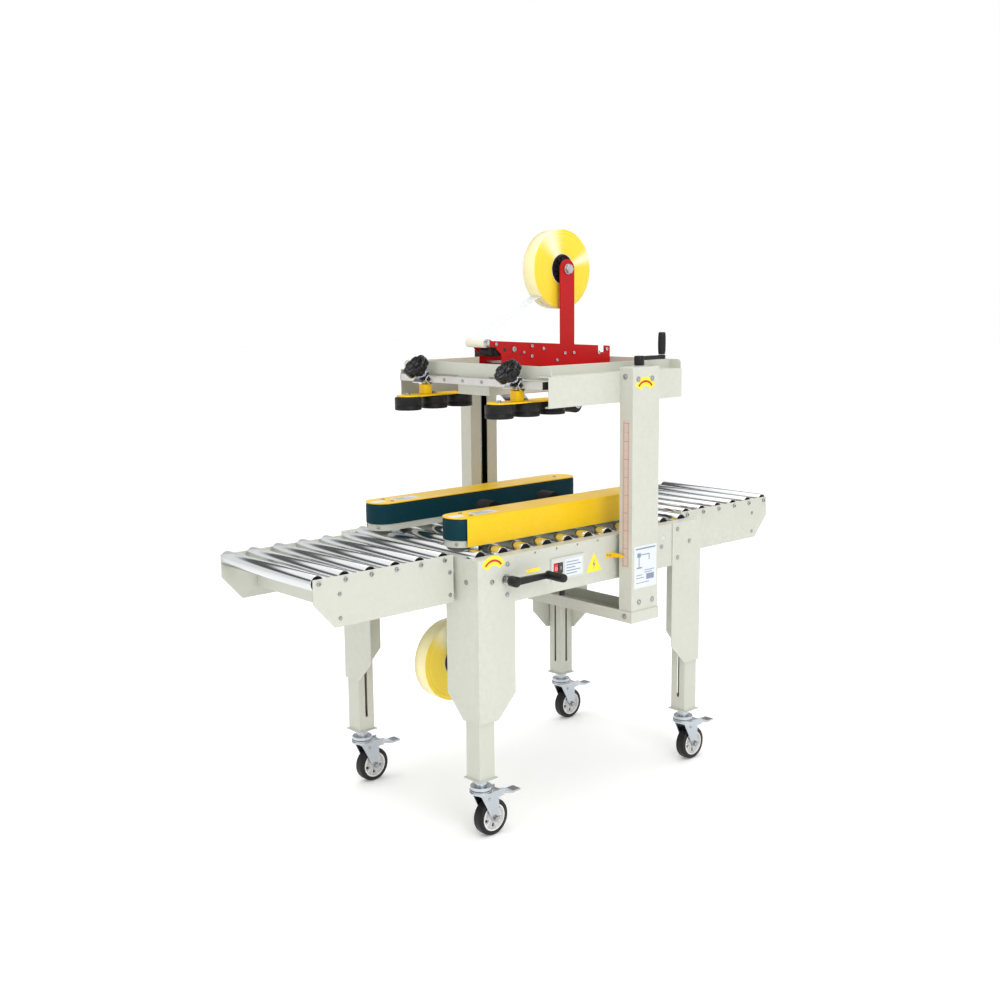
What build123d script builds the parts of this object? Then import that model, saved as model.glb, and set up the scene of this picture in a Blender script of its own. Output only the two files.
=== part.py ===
from build123d import *
import math
import os

# Side-belt carton sealer: roller conveyor, two side belts, tape heads above and below, lifting gantry.
# Millimetres. +X is the way the cartons travel, +Z is up, Z = 0 is the floor under the castor wheels.

# ---- driving dimensions -------------------------------------------------------------------------
SHEET = 3.0                 # folded sheet steel of the frame
FIT = 0.05                  # radial clearance of every running fit
GAP = 0.5                   # clearance between neighbours that move past each other

BED_LENGTH = 888.0          # conveyor body, over the end faces
BED_WIDTH = 600.0           # over the outer legs
BED_TOP = 760.0             # top of the side beams
BEAM_HEIGHT = 126.0
BEAM_FLANGE = 32.0

ROLLER_TOP = 774.0          # carton level
BED_ROLLER_R = 21.0
BED_PITCH = 80.0
BED_END_CLEAR = 44.0        # last roller of the body from its end face
BED_AXLE_R = 3.5
PEDAL_PIN_R = 4.0

TABLE_LENGTH = 431.0        # infeed and outfeed roller tables
TABLE_GAP = 10.0            # spacers between the body and a table
TABLE_SIDE_INSET = 85.0     # a table's side from the outer legs' faces
TABLE_TOP = 767.0
TABLE_DEPTH = 126.0
TABLE_NOSE = 61.0           # depth of a table plate at its free end
TABLE_CHAMFER = 59.0
TABLE_ROLLERS = 6
TABLE_PITCH = 77.2
TABLE_ROLLER_R = 20.0
TABLE_END_INSET = 15.7      # outermost roller axle from the table's free end
TABLE_AXLE_DROP = 11.0
SPACER_R = 8.0              # spacers that hold a table off the body
SPACER_INSET = 18.0
SPACER_LOW = 20.0
SPACER_HIGH = 45.0
TIE_HEIGHT = 40.0
NOSE_TIE_X = 105.0          # tie near the free end
NOSE_TIE_LOW = 100.0
NOSE_TIE_HIGH = 66.0
ROLLER_END_WALL = 10.0
AXLE_R = 6.0
ROLLER_WALL = 1.5

LEG_FACE = 128.0            # width of each face of an outer leg
LEG_FOOT_FACE = 66.0        # width at its lower end
LEG_BOTTOM = 324.0
LEG_TAPER_TOP = 388.0
INNER_LEG = 53.0            # square tube inside an outer leg
INNER_LEG_WALL = 2.5
INNER_LEG_TOP = 600.0
INNER_LEG_SLOT = 8.0
INNER_LEG_SLOT_INSET = 40.0 # from a slot's ends to the tube's ends
LEG_CLEAR = 4.0             # between an inner leg and the frame's flanges
FOOT_PLATE = 66.0
FOOT_PLATE_Z = 166.0

WHEEL_R = 50.0
WHEEL_WIDTH = 32.0
CASTER_TRAIL = 33.0
CASTER_BORE_R = 6.0
WHEEL_AXLE_R = 5.0
RACE_R = 29.0
RACE_TOP = 136.0
RACE_HIGH = 146.0           # top of the upper race, under the neck
NECK_R = 17.0
RACE_DEPTH = 10.0
KINGPIN_DEPTH = 14.0
FORK_PLATE = 3.0
FORK_CROWN = 6.0            # thickness of the fork's crown plate
FORK_FRONT = 16.0           # crown ahead of the kingpin
FORK_REAR = 12.0            # crown behind the wheel axle
FORK_TIP = 13.0             # fork below the wheel axle
FORK_AXLE_PAST = 10.0
PEDAL_TRAIL = 24.0          # pedal pin behind the wheel axle
PEDAL_DROP = 12.0           # pedal pin below the race
PEDAL_EYE = 4.0
PEDAL_LENGTH = 72.0
PEDAL_BEND = 44.0
PEDAL_DIP = 14.0
TREAD_ROUND = 5.0

LIFT_X = 122.5              # middle of the lifting columns along the conveyor
COLUMN_WIDTH = 109.0
COLUMN_DEPTH = 48.0
COLUMN_CLEAR = 15.0         # inner face of a column from the outer legs' faces
COLUMN_BASE = 515.0
COLUMN_TOP = 1227.0
COLUMN_SLOT = 28.0
BASE_HEIGHT = 33.0
LIFT_SCREW_R = 8.0
LIFT_SCREW_INSET = 21.0     # lifting screw from a column's inner face
NUT_WALL = 6.0
CARRIAGE_INSET = 8.0        # from the carriage to the beam's edges and the column's sides
CARRIAGE_PAD_HALF = 30.0
CRANK_HUB = 26.0
CRANK_ARM_WIDTH = 16.0
CRANK_ARM_THICK = 12.0
LIFT_CRANK_ARM = 94.0
LIFT_GRIP_R = 11.0
LIFT_GRIP_LENGTH = 62.0
SCREW_CAP_HEIGHT = 29.0

ARM_BOTTOM = 1133.0         # side arms of the head frame
ARM_TOP = 1215.0
ARM_FRONT = -204.0
ARM_REAR = 330.0
ARM_FLANGE = 45.0
UPSTAND_TOP = 1241.0
UPSTAND_CORNER = 12.0
FRONT_CLEAR = 2.0           # front cross member behind the press bar
FOOT_PAST = 15.0            # foot flange of an arm past its top flange
FOOT_CORNER = 70.0
SHELF_Z = 1205.0
SHELF_DEPTH = 30.0
DROP_HALF = 66.0            # open box under the front cross member
DROP_LOW = 1153.0
DROP_REAR = 120.0
REAR_SEAT_Z = 1170.0
REAR_SEAT_PAST = 10.0

PRESS_BAR = 20.0            # square bar that carries the side press units
PRESS_BAR_Z = 1192.0
PRESS_BAR_LENGTH = 602.0
PRESS_Y = 195.0
PRESS_ROLLER_R = 38.5
PRESS_ROLLER_H = 36.0
PRESS_PITCH = 96.0
PRESS_FIRST_X = -271.0
PRESS_ROLLER_BASE = 1105.0
PRESS_POST = 27.0
PRESS_POST_AHEAD = 2.0
PRESS_PLATE = 4.0
PRESS_PLATE_R = 33.0
PRESS_PLATE_GAP = 2.0
PRESS_BOLT_R = 8.0
PRESS_BOLT_PAST = 6.0
SLEEVE_WALL = 6.0
SLEEVE_LENGTH = 40.0
KNOB_R = 39.0
KNOB_THICK = 23.0
KNOB_FOOT = 28.0
KNOB_STEM_R = 7.0

HEAD_INNER = 90.0           # between the side plates of a tape head
TAPE_WIDTH = 48.0
TAPE_R = 114.0
TAPE_CORE_R = 42.0
HUB_BORE_R = 8.0
UPPER_ROLL = (136.0, 1500.0)
LOWER_ROLL = (-288.0, 410.0)
ARM_PIVOT_R = 5.0
ARM_ROLLER_R = 25.0
ARM_ROLLER_WIDTH = 54.0
CHEEK_CLEAR = 5.0           # from a roller's face to the arm's cheek
CHEEK = 4.0
CHEEK_R = 12.0
ARM_TUBE = 5.0              # wall of the pivot tube
ARM_AXLE_R = 8.0
ROLL_POST_HALF = 28.0
ROLL_POST_THICK = 5.0
ROLL_FOOT_HEIGHT = 40.0
ROLL_SHOULDER = 3.0         # from a tape roll's face to the shoulders on its axle
ROLL_SHOULDER_R = 12.0
ROLL_AXLE_PAST = 8.0
CORE_PAST = 2.0             # how far a roll's core stands out of its film
ROLL_NUT_REACH = 14.0
UPPER_POST_FOOT = 1200.0
LOWER_POST_TOP = 700.0
UPPER_HEAD_RODS = ((-100.0, 1240.0), (60.0, 1245.0), (200.0, 1235.0), (290.0, 1200.0), (280.0, 1165.0))
LOWER_HEAD_RODS = ((-221.0, 680.0), (-100.0, 665.0), (221.0, 680.0), (190.0, 750.0))
HEAD_CROSS_X = 205.0
HEAD_CROSS_HALF = 15.0
HEAD_CROSS_LOW = 690.0
HEAD_CROSS_HIGH = 716.0
RED_NOTCH_LEFT = 262.0
RED_NOTCH_RIGHT = 287.0
RED_NOTCH_DEEP = 20.0
RED_EAR_STEP = 8.0          # the red plates step in twice below their front ears
RED_EAR_LOW = 1280.0
RED_STEP = 28.0
RED_STEP_LOW = 1263.0
EAR_HALF = 8.0
EAR_TOP_DROP = 2.0
EAR_LAP = 4.0               # an ear's overlap with its plate
GUIDE_ROLLER_R = 11.0

BELT_Y = 170.0              # centre line of a belt unit from the conveyor's centre line
BELT_PAST = 77.0            # ends of a belt unit past its width rods
BELT_WIDTH = 96.0
BELT_BASE_Z = 777.0
BELT_LOW_Z = 797.0
BELT_HIGH_Z = 849.0
BELT_TOP_Z = 856.0
BELT_THICKNESS = 5.0
GUIDE_GAP = 6.0             # between an end pulley and the guides that back the belt
COVER_Y = 222.0
COVER_FRONT_INSET = 28.0    # cover from the belt unit's ends
COVER_LOW_Z = 780.0
WIDTH_ROD_R = 8.0
WIDTH_ROD_Z = 722.0
SLIDER_HALF = 20.0          # sliders under a belt unit
SLIDER_NECK = 15.0
SLIDER_FRONT = 18.0
SLIDER_REAR = 26.0
SLIDER_LOW = 684.0
SLIDER_HIGH = 727.0
TRAY_INSET = 4.0
COVER_REAR_INSET = 40.0
COVER_SHEET = 2.0
GUIDE_FLANGE = 24.0
BELT_POSTS = (-200.0, 0.0, 150.0)
BELT_POST_R = 8.0
BELT_POST_HALF = 12.0
BELT_POST_FOOT = 6.0
SIDE_CRANK_ARM = 118.0
SIDE_GRIP_R = 12.0
SIDE_CRANK_STANDOFF = 20.0
SIDE_CRANK_OFFSET = 11.4    # side crank's screw from the infeed width rod
SIDE_CRANK_Z = 698.0
SIDE_CRANK_PAST = 100.0     # end of the side crank's grip from the near legs' faces

SWITCH_LEFT = -184.0
SWITCH_RIGHT = -59.0
SWITCH_LOW = 665.0
SWITCH_HIGH = 727.0
SWITCH_DEPTH = 5.0

# ---- derived places -----------------------------------------------------------------------------
HALF_BED = BED_LENGTH / 2
HALF_WIDTH = BED_WIDTH / 2
BED_ROLLERS_EACH_WAY = int((HALF_BED - BED_END_CLEAR) / BED_PITCH)
TABLE_WIDTH = BED_WIDTH - 2 * TABLE_SIDE_INSET
COLUMN_INNER_Y = HALF_WIDTH + COLUMN_CLEAR
LIFT_SCREW_Y = COLUMN_INNER_Y + LIFT_SCREW_INSET
FRONT_INSET = PRESS_BAR / 2 + FRONT_CLEAR
# The width rods run midway between two rollers of the conveyor body.
INFEED_ROD_X = -BED_PITCH * (BED_ROLLERS_EACH_WAY - 0.5)
OUTFEED_ROD_X = BED_PITCH * (BED_ROLLERS_EACH_WAY - 1.5)
BELT_FRONT = INFEED_ROD_X - BELT_PAST
BELT_REAR = OUTFEED_ROD_X + BELT_PAST
COVER_FRONT = BELT_FRONT + COVER_FRONT_INSET
COVER_REAR = BELT_REAR - COVER_REAR_INSET
SIDE_CRANK_X = INFEED_ROD_X + SIDE_CRANK_OFFSET
SIDE_CRANK_REACH = HALF_WIDTH + SIDE_CRANK_PAST
BEAM_LOW = BED_TOP - BEAM_HEIGHT
BEAM_Y = HALF_WIDTH - SHEET                 # outer face of a beam, behind the leg sheets
BEAM_END = HALF_BED - SHEET
BED_AXLE_Z = ROLLER_TOP - BED_ROLLER_R
BED_ROLLER_END = BEAM_Y - SHEET - BEAM_FLANGE - 2
TABLE_END = HALF_BED + TABLE_GAP + TABLE_LENGTH
TABLE_Y = TABLE_WIDTH / 2
TABLE_AXLE_Z = TABLE_TOP - TABLE_AXLE_DROP
TABLE_ROLLER_END = TABLE_Y - 2 * SHEET
INNER_LEG_X = HALF_BED - SHEET - GAP - INNER_LEG / 2
INNER_LEG_Y = HALF_WIDTH - 2 * SHEET - GAP - INNER_LEG / 2
COLUMN_OUTER_Y = COLUMN_INNER_Y + COLUMN_DEPTH
HEAD_PLATE_Y = HEAD_INNER / 2
BELT_END_R = BELT_WIDTH / 2
PRESS_BAR_X = ARM_FRONT
# The frame's origin is the middle of the whole footprint, which the side crank makes deeper in front.
CENTRE_SHIFT = (SIDE_CRANK_REACH - COLUMN_OUTER_Y - SHEET) / 2


# ---- shape helpers ------------------------------------------------------------------------------
def block(x0, x1, y0, y1, z0, z1):
    middle = Pos((x0 + x1) / 2, (y0 + y1) / 2, (z0 + z1) / 2)
    return middle * Box(abs(x1 - x0), abs(y1 - y0), abs(z1 - z0))


def rod(axis, at, radius, start, end):
    """A round bar along X, Y or Z; at gives its other two coordinates in XYZ order."""
    length = end - start
    middle = (start + end) / 2
    if axis == "X":
        return Pos(middle, at[0], at[1]) * Rot(0, 90, 0) * Cylinder(radius, length)
    if axis == "Y":
        return Pos(at[0], middle, at[1]) * Rot(90, 0, 0) * Cylinder(radius, length)
    return Pos(at[0], at[1], middle) * Cylinder(radius, length)


def outline_along_y(points, y0, y1):
    face = make_face(Polyline(*points, close=True))
    return extrude(Plane.XZ.offset(-y1) * face, amount=y1 - y0)


def outline_along_x(points, x0, x1):
    face = make_face(Polyline(*points, close=True))
    return extrude(Plane.YZ.offset(x0) * face, amount=x1 - x0)


def stadium(x0, x1, y, radius, z0, z1):
    """A slab with two round ends, lying along X."""
    body = block(x0 + radius, x1 - radius, y - radius, y + radius, z0, z1)
    body += rod("Z", (x0 + radius, y), radius, z0, z1)
    body += rod("Z", (x1 - radius, y), radius, z0, z1)
    return body


def flip_y(shape):
    return mirror(shape, Plane.XZ)


def flip_x(shape):
    return mirror(shape, Plane.YZ)


def save(name, *pieces):
    solids = []
    for piece in pieces:
        solids.extend(piece.solids())
    whole = Compound(solids).moved(Location((0, CENTRE_SHIFT, 0)))
    export_step(whole, "parts/" + name + ".step")


def crank(hub_size, arm_length, grip_radius, grip_length):
    """A hand crank: hub on the origin, arm along +X, grip up from its end."""
    hub = Box(hub_size, hub_size, hub_size)
    arm_z = hub_size / 2 - CRANK_ARM_THICK / 2
    arm = Pos(arm_length / 2, 0, arm_z) * Box(arm_length, CRANK_ARM_WIDTH, CRANK_ARM_THICK)
    end = Pos(arm_length, 0, arm_z) * Cylinder(grip_radius, CRANK_ARM_THICK)
    grip_middle = hub_size / 2 + grip_length / 2
    grip = Pos(arm_length, 0, grip_middle) * Cylinder(grip_radius, grip_length)
    return hub + arm + end + grip


# ---- conveyor body ------------------------------------------------------------------------------
def side_beam():
    """The near side beam: a channel that opens inwards."""
    web_in = -BEAM_Y + SHEET
    beam = block(-BEAM_END, BEAM_END, -BEAM_Y, web_in, BEAM_LOW, BED_TOP)
    beam += block(-BEAM_END, BEAM_END, web_in, web_in + BEAM_FLANGE, BED_TOP - SHEET, BED_TOP)
    low_end = INNER_LEG_X - INNER_LEG / 2 - LEG_CLEAR
    beam += block(-low_end, low_end, web_in, web_in + BEAM_FLANGE, BEAM_LOW, BEAM_LOW + SHEET)
    for x in (INFEED_ROD_X, OUTFEED_ROD_X):
        beam -= rod("Y", (x, WIDTH_ROD_Z), WIDTH_ROD_R, -BEAM_Y, web_in)
    for index in range(-BED_ROLLERS_EACH_WAY, BED_ROLLERS_EACH_WAY + 1):
        beam -= rod("Y", (index * BED_PITCH, BED_AXLE_Z), BED_AXLE_R, -BEAM_Y, web_in)
    crank_hole = (SIDE_CRANK_X, SIDE_CRANK_Z)
    beam -= rod("Y", crank_hole, WIDTH_ROD_R + FIT, -BEAM_Y, web_in)
    return beam


def end_plate():
    """The infeed end plate: a channel across the body, between the two height-adjusting legs."""
    outer = -BEAM_END
    inside = INNER_LEG_Y - INNER_LEG / 2 - LEG_CLEAR
    plate = block(outer, outer + SHEET, -inside, inside, BEAM_LOW + SHEET, BED_TOP - SHEET)
    plate += block(outer, outer + BEAM_FLANGE / 2, -inside, inside, BED_TOP - SHEET, BED_TOP)
    plate += block(outer, outer + BEAM_FLANGE / 2, -inside, inside, BEAM_LOW, BEAM_LOW + SHEET)
    return plate


def build_bed_frame():
    beam = side_beam()
    plate = end_plate()
    save("bed_frame", beam, flip_y(beam), plate, flip_x(plate))


def outer_leg():
    """The near infeed leg: an angle of sheet that tapers at its lower end."""
    x0 = -HALF_BED
    y0 = -HALF_WIDTH
    front = [
        (x0, LEG_BOTTOM),
        (x0 + LEG_FOOT_FACE, LEG_BOTTOM),
        (x0 + LEG_FACE, LEG_TAPER_TOP),
        (x0 + LEG_FACE, BED_TOP),
        (x0, BED_TOP),
    ]
    side = [
        (y0, LEG_BOTTOM),
        (y0 + LEG_FOOT_FACE, LEG_BOTTOM),
        (y0 + LEG_FACE, LEG_TAPER_TOP),
        (y0 + LEG_FACE, BED_TOP),
        (y0, BED_TOP),
    ]
    leg = outline_along_y(front, y0, y0 + SHEET)
    leg += outline_along_x(side, x0, x0 + SHEET)
    return leg


def build_outer_legs():
    leg = outer_leg()
    crank_hole = rod("Y", (SIDE_CRANK_X, SIDE_CRANK_Z), WIDTH_ROD_R + SHEET, -HALF_WIDTH, -BEAM_Y)
    near_infeed = leg - crank_hole
    save("outer_legs", near_infeed, flip_y(leg), flip_x(leg), flip_x(flip_y(leg)))


def inner_leg():
    x = -INNER_LEG_X
    y = -INNER_LEG_Y
    half = INNER_LEG / 2
    bore = half - INNER_LEG_WALL
    tube_low = FOOT_PLATE_Z + SHEET
    tube = block(x - half, x + half, y - half, y + half, tube_low, INNER_LEG_TOP)
    tube -= block(x - bore, x + bore, y - bore, y + bore, tube_low, INNER_LEG_TOP)
    slot_half = INNER_LEG_SLOT / 2
    slot_low = tube_low + INNER_LEG_SLOT_INSET
    slot_high = INNER_LEG_TOP - INNER_LEG_SLOT_INSET
    tube -= block(x - slot_half, x + slot_half, y + bore, y + half, slot_low, slot_high)
    tube -= block(x + bore, x + half, y - slot_half, y + slot_half, slot_low, slot_high)
    foot_half = FOOT_PLATE / 2
    foot = block(x - foot_half, x + foot_half, y - foot_half, y + foot_half, FOOT_PLATE_Z, tube_low)
    race = rod("Z", (x, y), RACE_R, RACE_TOP + GAP, RACE_HIGH)
    neck = rod("Z", (x, y), NECK_R, RACE_HIGH, FOOT_PLATE_Z)
    kingpin = rod("Z", (x, y), CASTER_BORE_R, RACE_TOP - KINGPIN_DEPTH, RACE_TOP + GAP)
    return tube + foot + race + neck + kingpin


def build_inner_legs():
    leg = inner_leg()
    save("inner_legs", leg, flip_y(leg), flip_x(leg), flip_x(flip_y(leg)))


def build_caster(name, side_x, side_y):
    """Swivel fork, wheel and brake pedal; the wheel trails towards +X."""
    x = side_x * INNER_LEG_X
    y = side_y * INNER_LEG_Y
    axle_x = x + CASTER_TRAIL
    cheek = WHEEL_WIDTH / 2 + 2
    race_low = RACE_TOP - RACE_DEPTH
    fork = rod("Z", (x, y), RACE_R, race_low, RACE_TOP)
    outside = cheek + FORK_PLATE
    crown_low = race_low - FORK_CROWN
    fork += block(x - FORK_FRONT, axle_x + FORK_REAR, y - outside, y + outside, crown_low, race_low)
    cheek_top = race_low - FORK_CROWN / 2
    cheek_shape = [
        (x - FORK_FRONT, cheek_top),
        (axle_x + FORK_REAR, cheek_top),
        (axle_x + FORK_TIP, WHEEL_R),
        (axle_x + FORK_TIP / 2, WHEEL_R - FORK_TIP),
        (axle_x - FORK_TIP / 2, WHEEL_R - FORK_TIP),
        (axle_x - FORK_TIP, WHEEL_R),
    ]
    fork += outline_along_y(cheek_shape, y - cheek - FORK_PLATE, y - cheek)
    fork += outline_along_y(cheek_shape, y + cheek, y + cheek + FORK_PLATE)
    fork += rod("Y", (axle_x, WHEEL_R), WHEEL_AXLE_R, y - cheek - FORK_AXLE_PAST, y + cheek + FORK_AXLE_PAST)
    fork -= rod("Z", (x, y), CASTER_BORE_R + FIT, crown_low, RACE_TOP)
    pedal_x = axle_x + PEDAL_TRAIL
    pedal_z = race_low - PEDAL_DROP
    eye = PEDAL_PIN_R + PEDAL_EYE
    for side in (-1, 1):
        fork += block(axle_x, pedal_x + eye, y + side * cheek, y + side * outside, pedal_z - eye, race_low)
    fork += rod("Y", (pedal_x, pedal_z), PEDAL_PIN_R, y - outside, y + outside)
    save(name + "_fork", fork)

    tread = rod("Y", (axle_x, WHEEL_R), WHEEL_R, y - WHEEL_WIDTH / 2, y + WHEEL_WIDTH / 2)
    tread = fillet(tread.edges().filter_by(GeomType.CIRCLE), TREAD_ROUND)
    wheel = tread - rod("Y", (axle_x, WHEEL_R), WHEEL_AXLE_R + FIT, y - WHEEL_WIDTH, y + WHEEL_WIDTH)
    save(name + "_wheel", wheel)

    width = cheek - GAP
    pedal = rod("Y", (pedal_x, pedal_z), eye, y - width, y + width)
    half = PEDAL_EYE / 2
    tongue = [
        (pedal_x + half, pedal_z - PEDAL_EYE),
        (pedal_x + PEDAL_BEND, pedal_z - PEDAL_DIP),
        (pedal_x + PEDAL_LENGTH, pedal_z - PEDAL_DIP + half),
        (pedal_x + PEDAL_LENGTH, pedal_z - PEDAL_DIP + half + PEDAL_EYE),
        (pedal_x + PEDAL_BEND, pedal_z - PEDAL_DIP + half + PEDAL_EYE),
        (pedal_x + half, pedal_z + PEDAL_EYE),
    ]
    pedal += outline_along_y(tongue, y - width + half, y + width - half)
    pedal -= rod("Y", (pedal_x, pedal_z), PEDAL_PIN_R + FIT, y - cheek, y + cheek)
    save(name + "_brake_pedal", pedal)


# ---- rollers and tables -------------------------------------------------------------------------
def table_axle_x(index):
    return TABLE_END - TABLE_END_INSET - index * TABLE_PITCH


def table_frame():
    """The infeed table: two side plates, flanged at the body end, and two ties."""
    inner = -HALF_BED - TABLE_GAP
    outer = -TABLE_END
    low = TABLE_TOP - TABLE_DEPTH
    shape = [
        (inner, low),
        (outer + TABLE_CHAMFER, low),
        (outer, TABLE_TOP - TABLE_NOSE),
        (outer, TABLE_TOP),
        (inner, TABLE_TOP),
    ]
    near = outline_along_y(shape, -TABLE_Y, -TABLE_Y + SHEET)
    near += block(inner - SHEET, inner, -TABLE_Y, -TABLE_Y + LEG_FOOT_FACE / 2, low, TABLE_TOP)
    for height in (low + SPACER_LOW, TABLE_TOP - SPACER_HIGH):
        near += rod("X", (-TABLE_Y + SPACER_INSET, height), SPACER_R, inner, -HALF_BED)
    for index in range(TABLE_ROLLERS):
        near -= rod("Y", (-table_axle_x(index), TABLE_AXLE_Z), AXLE_R, -TABLE_Y, -TABLE_Y + SHEET)
    frame = near + flip_y(near)
    inside = TABLE_Y - SHEET
    frame += block(inner - SHEET, inner, -inside, inside, low, low + TIE_HEIGHT)
    nose = outer + NOSE_TIE_X
    frame += block(nose, nose + SHEET, -inside, inside, TABLE_TOP - NOSE_TIE_LOW, TABLE_TOP - NOSE_TIE_HIGH)
    return frame


def build_tables():
    frame = table_frame()
    save("table_frames", frame, flip_x(frame))


def build_table_rollers():
    for label, side in (("infeed", -1), ("outfeed", 1)):
        for index in range(TABLE_ROLLERS):
            at = (side * table_axle_x(index), TABLE_AXLE_Z)
            tube = rod("Y", at, TABLE_ROLLER_R, -TABLE_ROLLER_END, TABLE_ROLLER_END)
            hollow = TABLE_ROLLER_END - ROLLER_END_WALL
            tube -= rod("Y", at, TABLE_ROLLER_R - ROLLER_WALL, -hollow, hollow)
            tube -= rod("Y", at, AXLE_R + FIT, -TABLE_Y, TABLE_Y)
            save(label + "_roller_" + str(index + 1), tube)


def build_roller_axles():
    axles = []
    for side in (-1, 1):
        for index in range(TABLE_ROLLERS):
            at = (side * table_axle_x(index), TABLE_AXLE_Z)
            axles.append(rod("Y", at, AXLE_R, -TABLE_Y, TABLE_Y))
    save("roller_axles", *axles)


def bed_roller(x, start, end, axle_start, axle_end):
    """A closed tube with its end plugs and stub axle; one small vent opens the tube at one end."""
    at = (x, BED_AXLE_Z)
    plug = 8.0
    vent_r = 1.5
    roller = rod("Y", at, BED_ROLLER_R, start, end)
    roller -= rod("Y", at, BED_ROLLER_R - ROLLER_WALL, start + plug, end - plug)
    roller -= rod("Y", (x + BED_ROLLER_R / 2, BED_AXLE_Z), vent_r, start, start + plug)
    return roller + rod("Y", at, BED_AXLE_R, axle_start, axle_end)


def build_bed_rollers():
    """Rollers of the body: whole at the ends, in two halves beside the lower tape head."""
    pieces = []
    for index in range(-BED_ROLLERS_EACH_WAY, BED_ROLLERS_EACH_WAY + 1):
        x = index * BED_PITCH
        if abs(x) > LOWER_HEAD_HALF + BED_ROLLER_R:
            pieces.append(bed_roller(x, -BED_ROLLER_END, BED_ROLLER_END, -BEAM_Y, BEAM_Y))
        else:
            near = bed_roller(x, -BED_ROLLER_END, -HEAD_PLATE_Y - 12, -BEAM_Y, -HEAD_PLATE_Y - SHEET)
            pieces.append(near)
            pieces.append(flip_y(near))
    save("bed_rollers", *pieces)


# ---- lower tape head ----------------------------------------------------------------------------
LOWER_HEAD_HALF = 235.0
LOWER_HEAD_LOW = 650.0
LOWER_HEAD_HIGH = 770.0
LOWER_FRONT_PIVOT = (-205.0, 735.0)
LOWER_FRONT_ROLLER = (-143.0, 824.0)
LOWER_REAR_PIVOT = (35.0, 735.0)
LOWER_REAR_ROLLER = (97.0, 824.0)


def roll_post(roll, foot_x, foot_z):
    """The plate that carries a tape roll, its fixed axle and the nut outside it, as separate solids."""
    plate_y = -HEAD_PLATE_Y
    plate_in = plate_y + ROLL_POST_THICK
    low = min(roll[1], foot_z)
    high = max(roll[1], foot_z)
    post = block(roll[0] - ROLL_POST_HALF, roll[0] + ROLL_POST_HALF, plate_y, plate_in, low, high)
    if foot_x > roll[0] + ROLL_POST_HALF:
        post += block(roll[0], foot_x, plate_y, plate_in, foot_z - ROLL_FOOT_HEIGHT, foot_z)
    post += rod("Y", roll, ROLL_POST_HALF, plate_y, plate_in)
    film = TAPE_WIDTH / 2
    axle = rod("Y", roll, HUB_BORE_R, plate_in, film + ROLL_AXLE_PAST)
    axle += rod("Y", roll, ROLL_SHOULDER_R, plate_in, -film - ROLL_SHOULDER)
    axle += rod("Y", roll, ROLL_SHOULDER_R, film + ROLL_SHOULDER, film + ROLL_AXLE_PAST)
    nut = rod("Y", roll, HUB_BORE_R, plate_y - ROLL_NUT_REACH, plate_y)
    return post, axle, nut


def build_lower_head_frame():
    plate = block(-LOWER_HEAD_HALF, LOWER_HEAD_HALF, -HEAD_PLATE_Y - SHEET, -HEAD_PLATE_Y,
                  LOWER_HEAD_LOW, LOWER_HEAD_HIGH)
    pieces = [plate, flip_y(plate)]
    for at in LOWER_HEAD_RODS + (LOWER_FRONT_PIVOT, LOWER_REAR_PIVOT):
        pieces.append(rod("Y", at, ARM_PIVOT_R, -HEAD_PLATE_Y, HEAD_PLATE_Y))
    # Two cross bars carry the head from beam to beam.
    outside = HEAD_PLATE_Y + SHEET
    reach = BEAM_Y - SHEET
    for x in (-HEAD_CROSS_X, HEAD_CROSS_X):
        for side in (-1, 1):
            pieces.append(block(x - HEAD_CROSS_HALF, x + HEAD_CROSS_HALF, side * outside, side * reach,
                                HEAD_CROSS_LOW, HEAD_CROSS_HIGH))
    # The carrying plate of the lower tape roll hangs at the infeed end.
    pieces += roll_post(LOWER_ROLL, -HEAD_CROSS_X, LOWER_POST_TOP)
    save("lower_head_frame", *pieces)


def swing_arm(pivot, roller):
    """Two cheeks on a pivot tube, with a rubber roller between their far ends."""
    cheek_in = ARM_ROLLER_WIDTH / 2 + CHEEK_CLEAR
    cheek_out = cheek_in + CHEEK
    dx = roller[0] - pivot[0]
    dz = roller[1] - pivot[1]
    length = math.hypot(dx, dz)
    across = (-dz / length * CHEEK_R, dx / length * CHEEK_R)
    shape = [
        (pivot[0] + across[0], pivot[1] + across[1]),
        (pivot[0] - across[0], pivot[1] - across[1]),
        (roller[0] - across[0], roller[1] - across[1]),
        (roller[0] + across[0], roller[1] + across[1]),
    ]
    arm = rod("Y", pivot, ARM_PIVOT_R + ARM_TUBE, -cheek_out, cheek_out)
    for side in (-1, 1):
        low = min(side * cheek_in, side * cheek_out)
        high = max(side * cheek_in, side * cheek_out)
        arm += outline_along_y(shape, low, high)
        arm += rod("Y", pivot, CHEEK_R, low, high)
        arm += rod("Y", roller, CHEEK_R, low, high)
    arm += rod("Y", roller, ARM_AXLE_R, -cheek_out, cheek_out)
    arm += rod("Y", roller, ARM_ROLLER_R, -ARM_ROLLER_WIDTH / 2, ARM_ROLLER_WIDTH / 2)
    arm -= rod("Y", pivot, ARM_PIVOT_R + FIT, -HEAD_INNER, HEAD_INNER)
    return arm


def tape_roll(at):
    roll = rod("Y", at, TAPE_R, -TAPE_WIDTH / 2, TAPE_WIDTH / 2)
    roll += rod("Y", at, TAPE_CORE_R, -TAPE_WIDTH / 2 - CORE_PAST, TAPE_WIDTH / 2 + CORE_PAST)
    roll -= rod("Y", at, HUB_BORE_R + FIT, -TAPE_WIDTH, TAPE_WIDTH)
    return roll


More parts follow.
